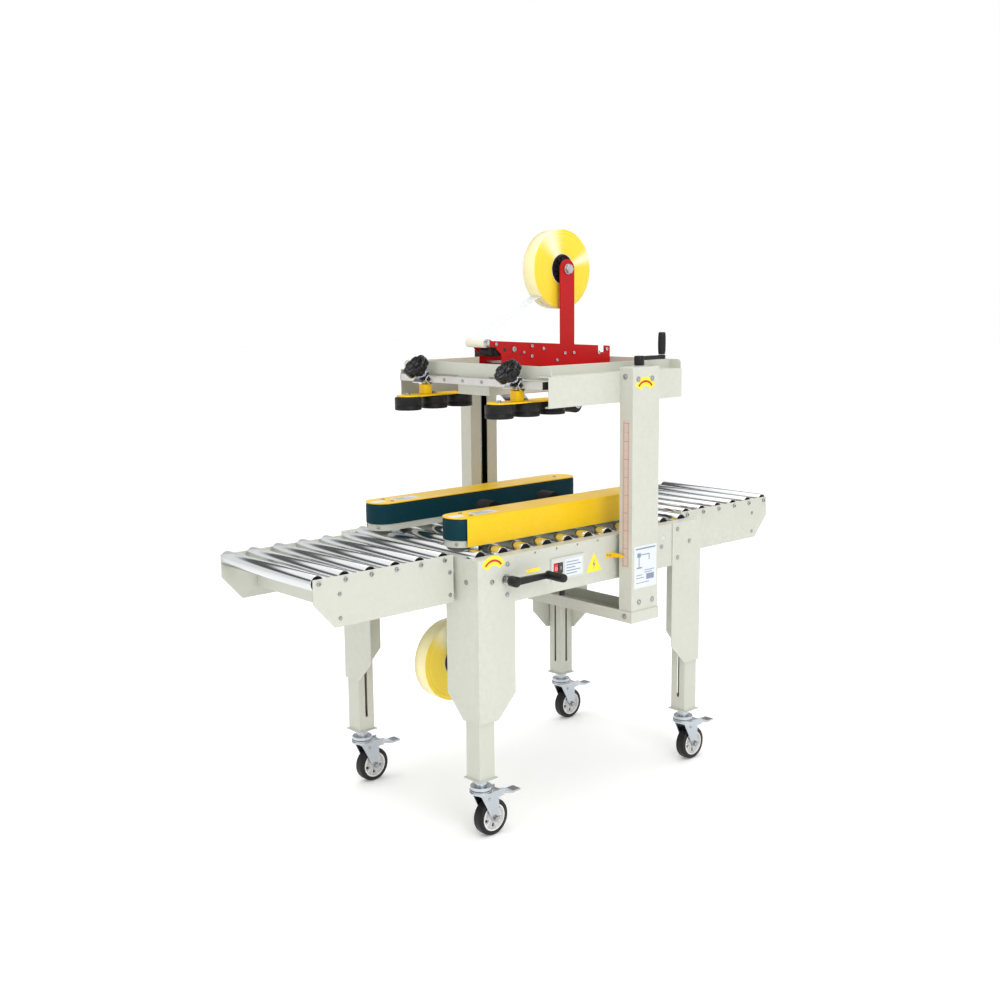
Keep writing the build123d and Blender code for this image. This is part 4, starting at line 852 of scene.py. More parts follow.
def build_pedal(label, axle):
    pedal_x = axle[0] + PEDAL_TRAIL
    softened(label + "_brake_pedal", ZINC, 0.9, label + "_pedal", steps=3)
    bm = bmesh.new()
    for index in range(5):
        x = pedal_x + 50 + index * 4.6
        box(bm, (x, axle[1] - 13, 105.6), (x + 2.0, axle[1] + 13, 107.0))
    piece(label + "_pedal_tread", bm, [ZINC], label + "_pedal", bevel=0.4)


def build_castors():
    for label_x in ("infeed", "outfeed"):
        for label_y in ("near", "far"):
            label = label_y + "_" + label_x + "_caster"
            low, high = span(label + "_wheel")
            build_castor(label, (low[0] + high[0]) / 2 - CASTER_TRAIL, (low[1] + high[1]) / 2)


# ---- rollers --------------------------------------------------------------------------------------
def roller_shell(bm, at, radius, start, end):
    """A chromed tube, rolled in over its end bearings."""
    rim = radius - 2.2
    profile = [(rim, start + 3), (rim, start + 0.6), (rim + 0.8, start), (radius - 0.6, start + 0.3),
               (radius, start + 1.4), (radius, end - 1.4), (radius - 0.6, end - 0.3), (rim + 0.8, end),
               (rim, end - 0.6), (rim, end - 3)]
    lathe(bm, "Y", at, profile + [profile[0]], 64)


def roller_bearing(bm, at, radius, start, end, axle_r):
    """Pressed black bearing housings in both ends."""
    for place, side in ((start, 1), (end, -1)):
        outer = radius - 2.2
        lathe(bm, "Y", at, [(outer, place + side * 0.8), (outer - 3, place + side * 1.2),
                            (axle_r + 6, place + side * 2.6), (axle_r + 4.5, place + side * 0.4),
                            (axle_r + 0.3, place + side * 0.4), (axle_r + 0.3, place + side * 7),
                            (outer, place + side * 7), (outer, place + side * 0.8)], 40)


ROLLER_EASE = 0.05           # keeps the round tube inside the faceted one it stands for
TABLE_ROLLERS = 6
TABLE_AXLE_R = 6.0


def build_table_rollers():
    for label in ("infeed", "outfeed"):
        for index in range(1, TABLE_ROLLERS + 1):
            node = label + "_roller_" + str(index)
            low, high = span(node)
            at = ((low[0] + high[0]) / 2, 0, (low[2] + high[2]) / 2)
            radius = (high[2] - low[2]) / 2 - ROLLER_EASE
            bm = bmesh.new()
            roller_shell(bm, at, radius, low[1], high[1])
            tube = piece(node + "_tube", bm, [CHROME], node)
            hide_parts(node)
            bm = bmesh.new()
            roller_bearing(bm, at, radius, low[1], high[1], TABLE_AXLE_R)
            piece(node + "_bearings", bm, [PLASTIC], node)


BED_PITCH = 80.0
BED_ROLLERS_EACH_WAY = 5
BED_AXLE_R = 3.5
BED_ROLLER_R = 21.0
BED_ROLLER_END = 260.0
STUB_END = 57.0
STUB_LIMIT = 250.0           # rollers nearer the middle are split round the tape head
AXLE_PAST_BEAM = 34.0
AXLE_PAST_STUB = 8.0


def bed_roller_spans():
    low, high = span("bed_rollers")
    height = (low[2] + high[2]) / 2
    for index in range(-BED_ROLLERS_EACH_WAY, BED_ROLLERS_EACH_WAY + 1):
        x = index * BED_PITCH
        if abs(x) > STUB_LIMIT:
            yield (x, 0, height), -BED_ROLLER_END, BED_ROLLER_END
        else:
            yield (x, 0, height), -BED_ROLLER_END, -STUB_END
            yield (x, 0, height), STUB_END, BED_ROLLER_END


def build_bed_rollers():
    bm = bmesh.new()
    for at, start, end in bed_roller_spans():
        roller_shell(bm, at, BED_ROLLER_R, start, end)
    tubes = piece("bed_roller_tubes", bm, [CHROME], "frame")
    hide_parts("bed_rollers")
    bm = bmesh.new()
    for at, start, end in bed_roller_spans():
        roller_bearing(bm, at, BED_ROLLER_R, start, end, BED_AXLE_R)
    piece("bed_roller_bearings", bm, [PLASTIC], "frame")
    bm = bmesh.new()
    for at, start, end in bed_roller_spans():
        reach_low = start - (AXLE_PAST_BEAM if start == -BED_ROLLER_END else AXLE_PAST_STUB)
        reach_high = end + (AXLE_PAST_BEAM if end == BED_ROLLER_END else AXLE_PAST_STUB)
        bar(bm, "Y", at, BED_AXLE_R, reach_low, reach_high, 12)
    piece("bed_roller_axles", bm, [ZINC], "frame")


# ---- side belt units ------------------------------------------------------------------------------
BELT_Y = 170.0
BELT_FRONT = -437.0
BELT_REAR = 357.0
BELT_R = 48.0
BELT_BASE = 777.0
BELT_LOW = 797.0
BELT_HIGH = 849.0
BELT_TOP = 856.0
COVER_Y = 222.0
COVER_FRONT = -409.0
COVER_REAR = 317.0
COVER_LOW = 780.0
BELT_THICK = 5.0
BELT_RIBS = 210
BELT_RIB_CUTS = 4
BELT_ROWS = 12
RIB_LEAN = 3.4               # how far a rib's points run along the belt
RIB_RELIEF = 0.8
INFEED_ROD_X = -360.0
OUTFEED_ROD_X = 280.0


def belt_path(distance, inset):
    """A point and its outward normal on the belt's loop, by distance along its outer face."""
    straight = BELT_REAR - BELT_FRONT - 2 * BELT_R
    turn = math.pi * BELT_R
    whole = 2 * (straight + turn)
    distance %= whole
    radius = BELT_R - inset
    if distance < straight:
        return (BELT_FRONT + BELT_R + distance, -radius), (0, -1)
    if distance < straight + turn:
        angle = -math.pi / 2 + (distance - straight) / BELT_R
        middle = BELT_REAR - BELT_R
    elif distance < 2 * straight + turn:
        return (BELT_REAR - BELT_R - (distance - straight - turn), radius), (0, 1)
    else:
        angle = math.pi / 2 + (distance - 2 * straight - turn) / BELT_R
        middle = BELT_FRONT + BELT_R
    return (middle + radius * math.cos(angle), radius * math.sin(angle)), (math.cos(angle), math.sin(angle))


def build_belt(label, side):
    """The drive belt, with a fine herringbone tread moulded on its outer face."""
    bm = bmesh.new()
    whole = 2 * (BELT_REAR - BELT_FRONT - 2 * BELT_R + math.pi * BELT_R)
    count = BELT_RIBS * BELT_RIB_CUTS
    rows = BELT_ROWS
    rib = whole / BELT_RIBS
    grid = []
    for index in range(count):
        column = []
        for row in range(rows + 1):
            height = BELT_LOW + (BELT_HIGH - BELT_LOW) * row / rows
            lean = abs((row / rows) * 4 % 2 - 1) * RIB_LEAN
            phase = ((index / BELT_RIB_CUTS) + lean / rib) % 1.0
            relief = 0.0 if row in (0, rows) else RIB_RELIEF * (0.5 - 0.5 * math.cos(TAU * phase))
            (px, py), normal = belt_path(whole * index / count, 0.9)
            place = (px + normal[0] * relief, side * BELT_Y + py + normal[1] * relief, height)
            column.append(bm.verts.new(place))
        grid.append(column)
    inner = []
    for index in range(count):
        (px, py), normal = belt_path(whole * index / count, BELT_THICK)
        inner.append([bm.verts.new((px, side * BELT_Y + py, height)) for height in (BELT_LOW, BELT_HIGH)])
    for index in range(count):
        after = (index + 1) % count
        for row in range(rows):
            bm.faces.new((grid[index][row], grid[after][row], grid[after][row + 1], grid[index][row + 1]))
        bm.faces.new((inner[index][0], inner[index][1], inner[after][1], inner[after][0]))
        bm.faces.new((grid[index][0], inner[index][0], inner[after][0], grid[after][0]))
        bm.faces.new((grid[index][rows], grid[after][rows], inner[after][1], inner[index][1]))
    belt = piece(label + "_belt_loop", bm, [BELT], label + "_belt", smooth=60)
    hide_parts(label + "_belt")


def build_belt_unit(label, side):
    body = label + "_belt"
    y = side * BELT_Y
    # The pulleys inside the belt take the painted shade finish.
    softened(label + "_belt_pulleys", PAINTED_SHADE, 0.6, body)
    bm = bmesh.new()
    prism(bm, "XY", slab_outline(BELT_FRONT + 4, BELT_REAR - 4, y, BELT_R - 4), BELT_BASE, BELT_LOW - 1.5)
    tray = piece(label + "_belt_tray", bm, [CREAM], body, bevel=0.8)
    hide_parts(label + "_belt_unit")
    # Painted shade: dark slabs under and over the belt and a dark block inside its loop, where the gaps lie
    # in shade.
    bm = bmesh.new()
    prism(bm, "XY", slab_outline(BELT_FRONT + 5, BELT_REAR - 5, y, BELT_R - 6), BELT_LOW - 1.5,
          BELT_LOW - 0.3)
    prism(bm, "XY", slab_outline(BELT_FRONT + 2.5, BELT_REAR - 2.5, y, BELT_R - 3), BELT_HIGH + 0.3,
          BELT_TOP - 2.6)
    inner = BELT_R - BELT_THICK - 0.6
    box(bm, (BELT_FRONT + 100, y - inner, BELT_LOW), (BELT_REAR - 100, y + inner, BELT_HIGH))
    piece(label + "_belt_gap", bm, [PAINTED_SHADE], body)
    build_belt_cover(label, side, body)
    build_belt_sliders(label, side, body)


def build_belt_cover(label, side, body):
    """Yellow top plate with round ends, folded down outside into the side cover."""
    y = side * BELT_Y
    top = BELT_TOP - 2.5
    bm = bmesh.new()
    prism(bm, "XY", slab_outline(BELT_FRONT, BELT_REAR, y, BELT_R, 24), top, BELT_TOP)
    piece(label + "_top_plate", bm, [YELLOW], body, bevel=0.7)
    bm = bmesh.new()
    fold = 3.0
    section = [(BELT_Y + 20, BELT_TOP + 0.05)]
    section += [(COVER_Y - fold + fold * math.sin(math.radians(a)),
                 BELT_TOP - fold + fold * math.cos(math.radians(a))) for a in (0, 22, 45, 68, 90)]
    section += [(COVER_Y, COVER_LOW), (COVER_Y - 2, COVER_LOW), (COVER_Y - 2, BELT_TOP - fold - 0.5),
                (COVER_Y - fold, BELT_TOP - 2.2), (BELT_Y + 20, BELT_TOP - 2.2)]
    prism(bm, "YZ", [(side * a, b) for a, b in section], COVER_FRONT, COVER_REAR)
    piece(label + "_side_cover", bm, [YELLOW], body, bevel=0.5)


def build_belt_sliders(label, side, body):
    y = side * BELT_Y
    bm = bmesh.new()
    for x in (INFEED_ROD_X, OUTFEED_ROD_X):
        box(bm, (x - 15, y - 20, 714), (x + 15, y + 20, BELT_BASE))
        if x < 0:
            box(bm, (x - 18, y - 20, 684), (x + 26, y + 20, 727))
        else:
            box(bm, (x - 18, y - 20, 700), (x + 26, y + 20, 727))
    piece(label + "_sliders", bm, [ZINC], body, bevel=1.0)
    bm = bmesh.new()
    for x in (-330, -316, -302):
        bar(bm, "Z", (x, side * (BELT_Y + 38), 0), 3.2, BELT_BASE - 1, BELT_BASE + 12, 12)
    piece(label + "_tension_studs", bm, [STEEL], body)


# ---- tape rolls and heads -------------------------------------------------------------------------
UPPER_ROLL = (136.0, 1500.0)
LOWER_ROLL = (-288.0, 410.0)
TAPE_R = 113.8
TAPE_HALF = 24.0
CORE_R = 43.0
# Painted highlight: bright wedges painted on the wound faces in place of their reflections; angle and reach
# in degrees.
TAPE_PAINTED_HIGHLIGHTS = ((118, 34), (-82, 26), (20, 16))
TREAD_PALENESS = 0.7           # how pale the film looks edge-on


def build_tape_roll(label, centre):
    """Wound film on a thin core, held by a black hub with spokes and studs."""
    at = (centre[0], 0, centre[1])
    body = label + "_tape_roll"
    bm = bmesh.new()
    edge = 0.8
    waves = [(CORE_R + 1.5, 0), (60, 0.15), (80, -0.1), (100, 0.1), (TAPE_R - edge, 0), (TAPE_R, -edge)]
    profile = [(radius, -TAPE_HALF - wave) for radius, wave in waves]
    profile += [(radius, TAPE_HALF + wave) for radius, wave in waves[::-1]]
    lathe(bm, "Y", at, profile + [profile[0]], 128)
    roll = piece(body + "_film", bm, [TAPE], body, smooth=50)
    wind = roll.data.attributes.new("wind", "FLOAT", "POINT")
    pale_tread_and_painted_highlight = roll.data.attributes.new("pale_tread_and_painted_highlight", "FLOAT", "POINT")
    middle = world(at)
    for index, vert in enumerate(roll.data.vertices):
        across, up = vert.co.x - middle.x, vert.co.z - middle.z
        wind.data[index].value = math.hypot(across, up) * 10
        # Painted highlight by angle round the axle on the faces; the tread takes a flat paler tone.
        around = math.degrees(math.atan2(up, across))
        painted_gleam = sum(max(0.0, 1 - abs(around - lobe) / reach) ** 1.5 for lobe, reach in TAPE_PAINTED_HIGHLIGHTS)
        on_tread = math.hypot(across, up) > (TAPE_R - 0.4) * MM
        pale_tread_and_painted_highlight.data[index].value = TREAD_PALENESS if on_tread else painted_gleam
    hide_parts(body)
    bm = bmesh.new()
    out = CORE_R + 1.4
    core = [(CORE_R, -TAPE_HALF - 0.4), (out, -TAPE_HALF - 0.4), (out, TAPE_HALF + 0.4),
            (CORE_R, TAPE_HALF + 0.4)]
    lathe(bm, "Y", at, core + [core[0]], 96)
    piece(body + "_core", bm, [IVORY], body)
    bm = bmesh.new()
    rim = CORE_R - 0.4
    half = [(8.3, 2), (16, 2), (18, -2), (35, -2), (37, 1.8), (rim - 1, 1.8), (rim, 0.8)]
    hub = [(radius, -TAPE_HALF - out_by) for radius, out_by in half]
    hub += [(radius, TAPE_HALF + out_by) for radius, out_by in half[::-1]]
    lathe(bm, "Y", at, hub + [hub[0]], 72)
    for index in range(6):
        for face in (-1, 1):
            low = min(face * (TAPE_HALF - 2.2), face * (TAPE_HALF + 1.6))
            made = box(bm, (at[0] + 17, low, at[2] - 3), (at[0] + 34, low + 3.8, at[2] + 3))
            turned(made, (index * 60, "Y"), at)
            made = bar(bm, "Y", (at[0] + 30, 0, at[2]), 4.5, low, low + 3.8, 20)
            turned(made, (index * 60 + 30, "Y"), at)
    piece(body + "_hub", bm, [PLASTIC], body, bevel=0.5)


def build_roll_nut(label, centre, body):
    """Washer and nuts that close the roll axle outside its post."""
    bm = bmesh.new()
    at = (centre[0], 0, centre[1])
    lathe(bm, "Y", at, [(0, -46), (15, -46), (15, -48.5), (0, -48.5)], 32)
    lathe(bm, "Y", at, [(0, -48.4), (14, -48.4), (14, -55.5), (12.5, -57.4), (0, -57.4)], 6)
    lathe(bm, "Y", at, [(0, -57.5), (8, -57.5), (8, -58.6), (0, -58.8)], 24)
    piece(label + "_roll_nut", bm, [ZINC], body, bevel=0.4)


ARM_HALF = 36.0
ARM_ROLLER_EDGE = 27.5
ARM_ROLLERS = {
    "upper_front_arm": ((-75, 1172), (0, 1104)),
    "upper_rear_arm": ((115, 1172), (190, 1104)),
    "lower_front_arm": ((-205, 735), (-143, 824)),
    "lower_rear_arm": ((35, 735), (97, 824)),
}


def build_swing_arm(name):
    """Steel cheeks with a knurled rubber roller."""
    pivot, roller = ARM_ROLLERS[name]

    def rubber(place, normal):
        return abs(place[1]) < ARM_ROLLER_EDGE

    softened(name, ZINC, 0.6, name, RUBBER, rubber)
    bm = bmesh.new()
    at = (roller[0], 0, roller[1])
    for index in range(9):
        y = -24 + index * 6
        lathe(bm, "Y", at, [(24.5, y - 2.2), (25.4, y - 1.6), (25.4, y + 1.6), (24.5, y + 2.2),
                            (24.5, y - 2.2)], 48)
    piece(name + "_grip_rings", bm, [RUBBER], name)
    bm = bmesh.new()
    for side in (-1, 1):
        for x, z in (pivot, roller):
            lathe(bm, "Y", (x, side * ARM_HALF, z), [(5.3, 0), (8.5, 0), (8.5, side * 1.4),
                                                     (5.3, side * 1.4)], 24)
        lathe(bm, "Y", (roller[0], side * ARM_HALF, roller[1]),
              [(0, side * 0.2), (7, side * 0.2), (7, side * 4), (0, side * 4.6)], 6)
    piece(name + "_nuts", bm, [STEEL], name)


RED_OUT = 48.0
GUIDE_ROLLER = (-170.0, 1296.0)
GUIDE_ROLLER_R = 12.5
RED_SCREWS = [(-149, 1293, 0.75), (-83, 1277, 1.15), (-12, 1284, 0.75), (-13, 1255, 0.8), (-43, 1267, 0.6),
              (33, 1275, 0.75), (88, 1240, 0.75), (120, 1259, 0.75), (157, 1259, 0.75), (262, 1256, 0.9),
              (297, 1265, 0.75)]
# Holes in the red head, each drawn as a dark disc of painted shade: x, z, radius.
RED_HOLES = [(-115, 1276, 6), (95, 1235, 2.5), (-55, 1262, 3)]


def build_red_head_details():
    for size in sorted({spot[2] for spot in RED_SCREWS}):
        places = [((x, -RED_OUT, z), NEAR) for x, z, spot in RED_SCREWS if spot == size]
        places += [((x, RED_OUT, z), FAR) for x, z, spot in RED_SCREWS if spot == size]
        repeated("head_screws_%d" % round(size * 100), SOCKET, places, ZINC, "gantry",
                 size * 1.25)
    # Painted shade: dark discs on the near face where the head has holes.
    bm = bmesh.new()
    for x, z, radius in RED_HOLES:
        bar(bm, "Y", (x, 0, z), radius, -RED_OUT - 0.25, -RED_OUT + 0.5, 24)
    piece("head_holes", bm, [PAINTED_SHADE], "gantry")
    bm = bmesh.new()
    at = (GUIDE_ROLLER[0], 0, GUIDE_ROLLER[1])
    bar(bm, "Y", at, GUIDE_ROLLER_R, -33, 44, 48, round_by=1.0)
    piece("tape_guide_roller", bm, [IVORY], "gantry")
    bm = bmesh.new()
    bar(bm, "Y", at, 9.5, -46.5, -33.2, 40, round_by=1.0)
    bar(bm, "Y", (at[0] + 22, 0, at[2] - 2), 5, -44, 44, 24)
    piece("guide_roller_collar", bm, [CHROME], "gantry")
    bm = bmesh.new()
    bar(bm, "Y", (-136, 0, 1271), 14, -42, 20, 40, round_by=1.5)
    box(bm, (-160, -38, 1262), (-136, -30, 1282))
    piece("one_way_roller", bm, [RUBBER], "gantry", bevel=0.8)


PEEL_ANGLE = 222.0          # where the film leaves the roll, on its lower infeed side


def build_tape_web():
    """The film that runs from the roll down to the guide roller."""
    bm = bmesh.new()
    peel = math.radians(PEEL_ANGLE)
    start = Vector(UPPER_ROLL) + (TAPE_R + 0.3) * Vector((math.cos(peel), math.sin(peel)))
    end = Vector((GUIDE_ROLLER[0], GUIDE_ROLLER[1] + GUIDE_ROLLER_R + 0.5))
    along = (end - start).normalized()
    normal = Vector((along.y, -along.x))
    thick = normal * 0.25
    outline = [tuple(start), tuple(end), tuple(end + thick), tuple(start + thick)]
    prism(bm, "XZ", outline, -TAPE_HALF + 1, TAPE_HALF - 1)
    piece("tape_web", bm, [FILM], "gantry")


# ---- press units ----------------------------------------------------------------------------------
PRESS_Y = 195.0
PRESS_BAR_X = -204.0
PRESS_BAR_Z = 1192.0
PRESS_FIRST = -271.0
PRESS_PITCH = 96.0
PRESS_LOW = 1105.0
PRESS_HIGH = 1141.0
PRESS_R = 38.5
PRESS_WHEELS = 3
PRESS_PLATE_R = 33.0
PRESS_BAR_HALF = 10.0
POST_HALF = 13.5
CLAMP_HALF = 17.0
KNOB_LOBES = 8
KNOB_LOBE = 4.6


def build_press_unit(label, side):
    body = label + "_press"
    y = side * PRESS_Y
    bm = bmesh.new()
    for index in range(PRESS_WHEELS):
        at = (PRESS_FIRST + index * PRESS_PITCH, y, 0)
        wheel = [(0, PRESS_LOW), (8, PRESS_LOW), (9, PRESS_LOW + 3), (PRESS_R - 8, PRESS_LOW + 3),
                 (PRESS_R - 6, PRESS_LOW), (PRESS_R - 1.5, PRESS_LOW), (PRESS_R, PRESS_LOW + 1.5),
                 (PRESS_R, PRESS_LOW + 12), (PRESS_R - 0.7, PRESS_LOW + 13),
                 (PRESS_R - 0.7, PRESS_LOW + 14), (PRESS_R, PRESS_LOW + 15), (PRESS_R, PRESS_HIGH - 1.5),
                 (PRESS_R - 1.5, PRESS_HIGH), (0, PRESS_HIGH)]
        lathe(bm, "Z", at, wheel, 72)
    wheels = piece(label + "_press_wheels", bm, [RUBBER], body)
    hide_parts(label + "_press_unit")
    build_press_plate(label, y, body)
    build_press_clamp(label, side, y, body)


def build_press_plate(label, y, body):
    bm = bmesh.new()
    last = PRESS_FIRST + (PRESS_WHEELS - 1) * PRESS_PITCH
    top = PRESS_HIGH + 6
    prism(bm, "XY", slab_outline(PRESS_FIRST - PRESS_PLATE_R, last + PRESS_PLATE_R, y, PRESS_PLATE_R),
          PRESS_HIGH + 2, top)
    piece(label + "_press_plate", bm, [YELLOW], body, bevel=0.8)
    bm = bmesh.new()
    post_x = PRESS_BAR_X - 2
    box(bm, (post_x - POST_HALF, y - POST_HALF, top), (post_x + POST_HALF, y + POST_HALF, PRESS_BAR_Z - 17))
    piece(label + "_press_post", bm, [YELLOW], body, bevel=1.6)
    spots = [PRESS_FIRST + index * PRESS_PITCH for index in range(PRESS_WHEELS)]
    places = [((x, y, top), UP) for x in spots]
    repeated(label + "_press_bolts", HEX, places, STEEL, body, 0.9)
    places = [((x, y, PRESS_LOW + 3), DOWN) for x in spots]
    repeated(label + "_press_nuts", HEX, places, STEEL, body, 0.6)


def folded(bm, outline, y, half, thick):
    """A strip folded along an outline in the XZ plane, offset inwards by its thickness."""
    inner = []
    for index, point in enumerate(outline):
        here = Vector(point)
        before = Vector(outline[max(index - 1, 0)])
        after = Vector(outline[min(index + 1, len(outline) - 1)])
        along_in = (here - before).normalized() if index else (after - here).normalized()
        along_out = (after - here).normalized() if index < len(outline) - 1 else along_in
        normal = Vector((-along_in.y - along_out.y, along_in.x + along_out.x)).normalized()
        share = thick / max(0.3, normal.dot(Vector((-along_in.y, along_in.x))))
        inner.append(tuple(here + normal * share))
    prism(bm, "XZ", list(outline) + inner[::-1], y - half, y + half)


def build_press_clamp(label, side, y, body):
    """Two folded jaws that hold the square bar corner-wise, pulled together by the knob's screw."""
    half = CLAMP_HALF
    bm = bmesh.new()
    x, z = PRESS_BAR_X, PRESS_BAR_Z
    upper = [(x + 4, z + half), (x - 2, z + half + 3), (x - half - 3, z + 2), (x - half - 9, z - 7)]
    folded(bm, upper, y, 25, 3)
    lower = [(x - half - 14, z - 12), (x - half - 3, z - 6), (x - 2, z - half - 3), (x + half, z - 3)]
    folded(bm, lower, y, 25, 3)
    box(bm, (x - 13.4, y - 12, z - 13.4), (x - 10.4, y + 12, z + 13.4))
    box(bm, (x - 13.4, y - 12, z - 13.4), (x + 10, y + 12, z - 10.4))
    piece(label + "_press_clamp", bm, [CHROME], body, bevel=0.7)
    foot = Vector((x - 6, y, z + 6))
    lean = Matrix.Rotation(math.radians(-45), 4, "Y")

    def tilt(made):
        for vert in made:
            vert.co = lean @ vert.co + foot

    bm = bmesh.new()
    tilt(bar(bm, "Z", (0, 0, 0), 6, 0, 26, 24))
    tilt(lathe(bm, "Z", (0, 0, 0), [(0, 2), (11, 2), (11, 9), (10, 10), (0, 10)], 6))
    piece(label + "_press_screw", bm, [ZINC], body, bevel=0.5)
    bm = bmesh.new()
    knob = [(0, 14), (13, 14), (15, 27), (27, 28.5), (35, 29.5), (38.6, 33), (38.6, 47), (37, 50.8),
            (34, 52.2), (31, 51.6), (29.5, 47.6), (25, 46), (0, 45.4)]

    def scallop(angle, along):
        if along < 29 or along > 52.3:
            return 0
        return -KNOB_LOBE * abs(math.sin(angle * KNOB_LOBES / 2)) ** 6

    tilt(lathe(bm, "Z", (0, 0, 0), knob, 160, wobble=scallop))
    tilt(lathe(bm, "Z", (0, 0, 0), [(0, 45), (10, 45), (10, 47), (9, 48), (0, 48)], 32))
    for index in range(5):
        made = box(bm, (10, -1.2, 45), (29.5, 1.2, 47.4))
        turned(made, (index * 72, "Z"), (0, 0, 0))
        tilt(made)
    piece(label + "_press_knob", bm, [GLOSS_PLASTIC], body, smooth=50)


# ---- cranks ---------------------------------------------------------------------------------------
GRIP_FLUTES = 20
GRIP_FLUTE = 0.35


def crank_piece(name, body, place, reach, grip_r, grip_end, hub):
    """place turns a crank drawn about +Z into its seat; lengths follow the driven crank solid."""
    bm = bmesh.new()
    arm_z = hub / 2 - 7
    hub_made = bar(bm, "Z", (0, 0, 0), hub / 2 + 1, -hub / 2, hub / 2, 40, round_by=2.0)
    outline = [(-hub / 2 + 2, -9.5), (reach, -7), (reach, 7), (-hub / 2 + 2, 9.5)]
    arm_made = prism(bm, "XY", outline, arm_z - 5.5, arm_z + 5.5)
    end_made = bar(bm, "Z", (reach, 0, 0), grip_r - 0.5, arm_z - 5.6, arm_z + 6.2, 32, round_by=1.5)
    for made in (hub_made, arm_made, end_made):
        for vert in made:
            vert.co = place @ vert.co
    crank = piece(name + "_arm", bm, [PLASTIC], body, bevel=1.0)
    bm = bmesh.new()
    low = hub / 2 + 0.6
    profile = [(0, low), (grip_r - 2, low), (grip_r - 1, low + 1.5)]
    steps = 9
    for index in range(steps + 1):
        share = index / steps
        swell = 1.2 * math.sin(math.pi * share) ** 0.5
        profile.append((grip_r - 1.2 + swell, low + 3 + (grip_end - low - 6) * share))
    profile += [(grip_r - 2.2, grip_end - 0.8), (grip_r - 4, grip_end), (0, grip_end)]

    def flutes(angle, along):
        on_grip = low + 4 < along < grip_end - 4
        return -GRIP_FLUTE * (0.5 + 0.5 * math.cos(angle * GRIP_FLUTES)) if on_grip else 0

    made = lathe(bm, "Z", (reach, 0, 0), profile, 40,
                 wobble=flutes)
    for vert in made:
        vert.co = place @ vert.co
    piece(name + "_grip", bm, [PLASTIC], body, smooth=50)
    return crank


SIDE_CRANK_X = -348.6
SIDE_CRANK_Z = 698.0
CRANK_HUB = 26.0
SIDE_CRANK_STANDOFF = 20.0
SIDE_CRANK_ARM = 118.0
SIDE_GRIP_R = 12.0
LIFT_CRANK_ARM = 94.0
LIFT_GRIP_R = 11.0
SCREW_R = 8.0


def build_cranks():
    hub_y = -HALF_WIDTH - SIDE_CRANK_STANDOFF - CRANK_HUB / 2
    lay_down = Matrix.Rotation(math.radians(90), 4, "X")
    place = Matrix.Translation((SIDE_CRANK_X, hub_y, SIDE_CRANK_Z)) @ lay_down
    low, high = span("side_crank")
    side = crank_piece("side_crank", "side_crank", place, SIDE_CRANK_ARM, SIDE_GRIP_R, hub_y - low[1],
                       CRANK_HUB)
    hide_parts("side_crank")
    bm = bmesh.new()
    at = (SIDE_CRANK_X, 0, SIDE_CRANK_Z)
    bar(bm, "Y", at, SCREW_R, hub_y + 6, 292, 32)
    bar(bm, "Y", at, 14, -304, -300.2, 32, round_by=0.8)
    piece("width_screw", bm, [STEEL], "side_crank")
    hub_z = COLUMN_TOP + SHEET + 3 + CRANK_HUB / 2
    place = Matrix.Translation((LIFT_X, -LIFT_SCREW_Y, hub_z))
    low, high = span("column_crank")
    top = crank_piece("column_crank", "column_crank", place, LIFT_CRANK_ARM, LIFT_GRIP_R, high[2] - hub_z,
                      CRANK_HUB)
    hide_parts("column_crank")
    bm = bmesh.new()
    bar(bm, "Z", (LIFT_X, -LIFT_SCREW_Y, 0), SCREW_R, COLUMN_BASE + 9, hub_z - 6, 32)
    piece("lift_screw", bm, [STEEL], "column_crank")


# ---- controls and labels --------------------------------------------------------------------------
SWITCH = (-184.0, -59.0, 665.0, 727.0)
STOP_X = -167.0
START_X = -149.0
BUTTON_Z = 699.0
GLAND_X = -120.0
LEG_ARROW = (-391, 742)
COLUMN_ARROW = (118, 1178)
ARROW_WIDTH = 84
HAZARD_TRIANGLE = [(-46, 668), (15, 668), (-15.5, 722)]
HAZARD_BOLT = [(-12, 704), (-21, 686), (-15, 687), (-18, 674), (-9, 691), (-15, 690)]
BEAM_TAG = ((-272, 702), (-223, 712))
GUIDE_LABEL = ((78, 612), (171, 732))
# A crank drawn in outline, and plain bars in place of lines of print.
GUIDE_BARS = (((84, 722), (165, 726)), ((90, 700), (104, 712)), ((104, 705), (140, 707.5)),
              ((138, 690), (141, 707)), ((96, 672), (99, 700)), ((88, 668), (110, 672)),
              ((120, 660), (160, 662)), ((120, 654), (152, 656)), ((86, 648), (112, 650)),
              ((86, 640), (118, 642)), ((128, 634), (160, 650)), ((86, 626), (140, 628)))
BELT_PLATE_BARS = (44, 60, 30, 52, 38)
SWITCH_BARS = (40, 54, 34, 56, 46)


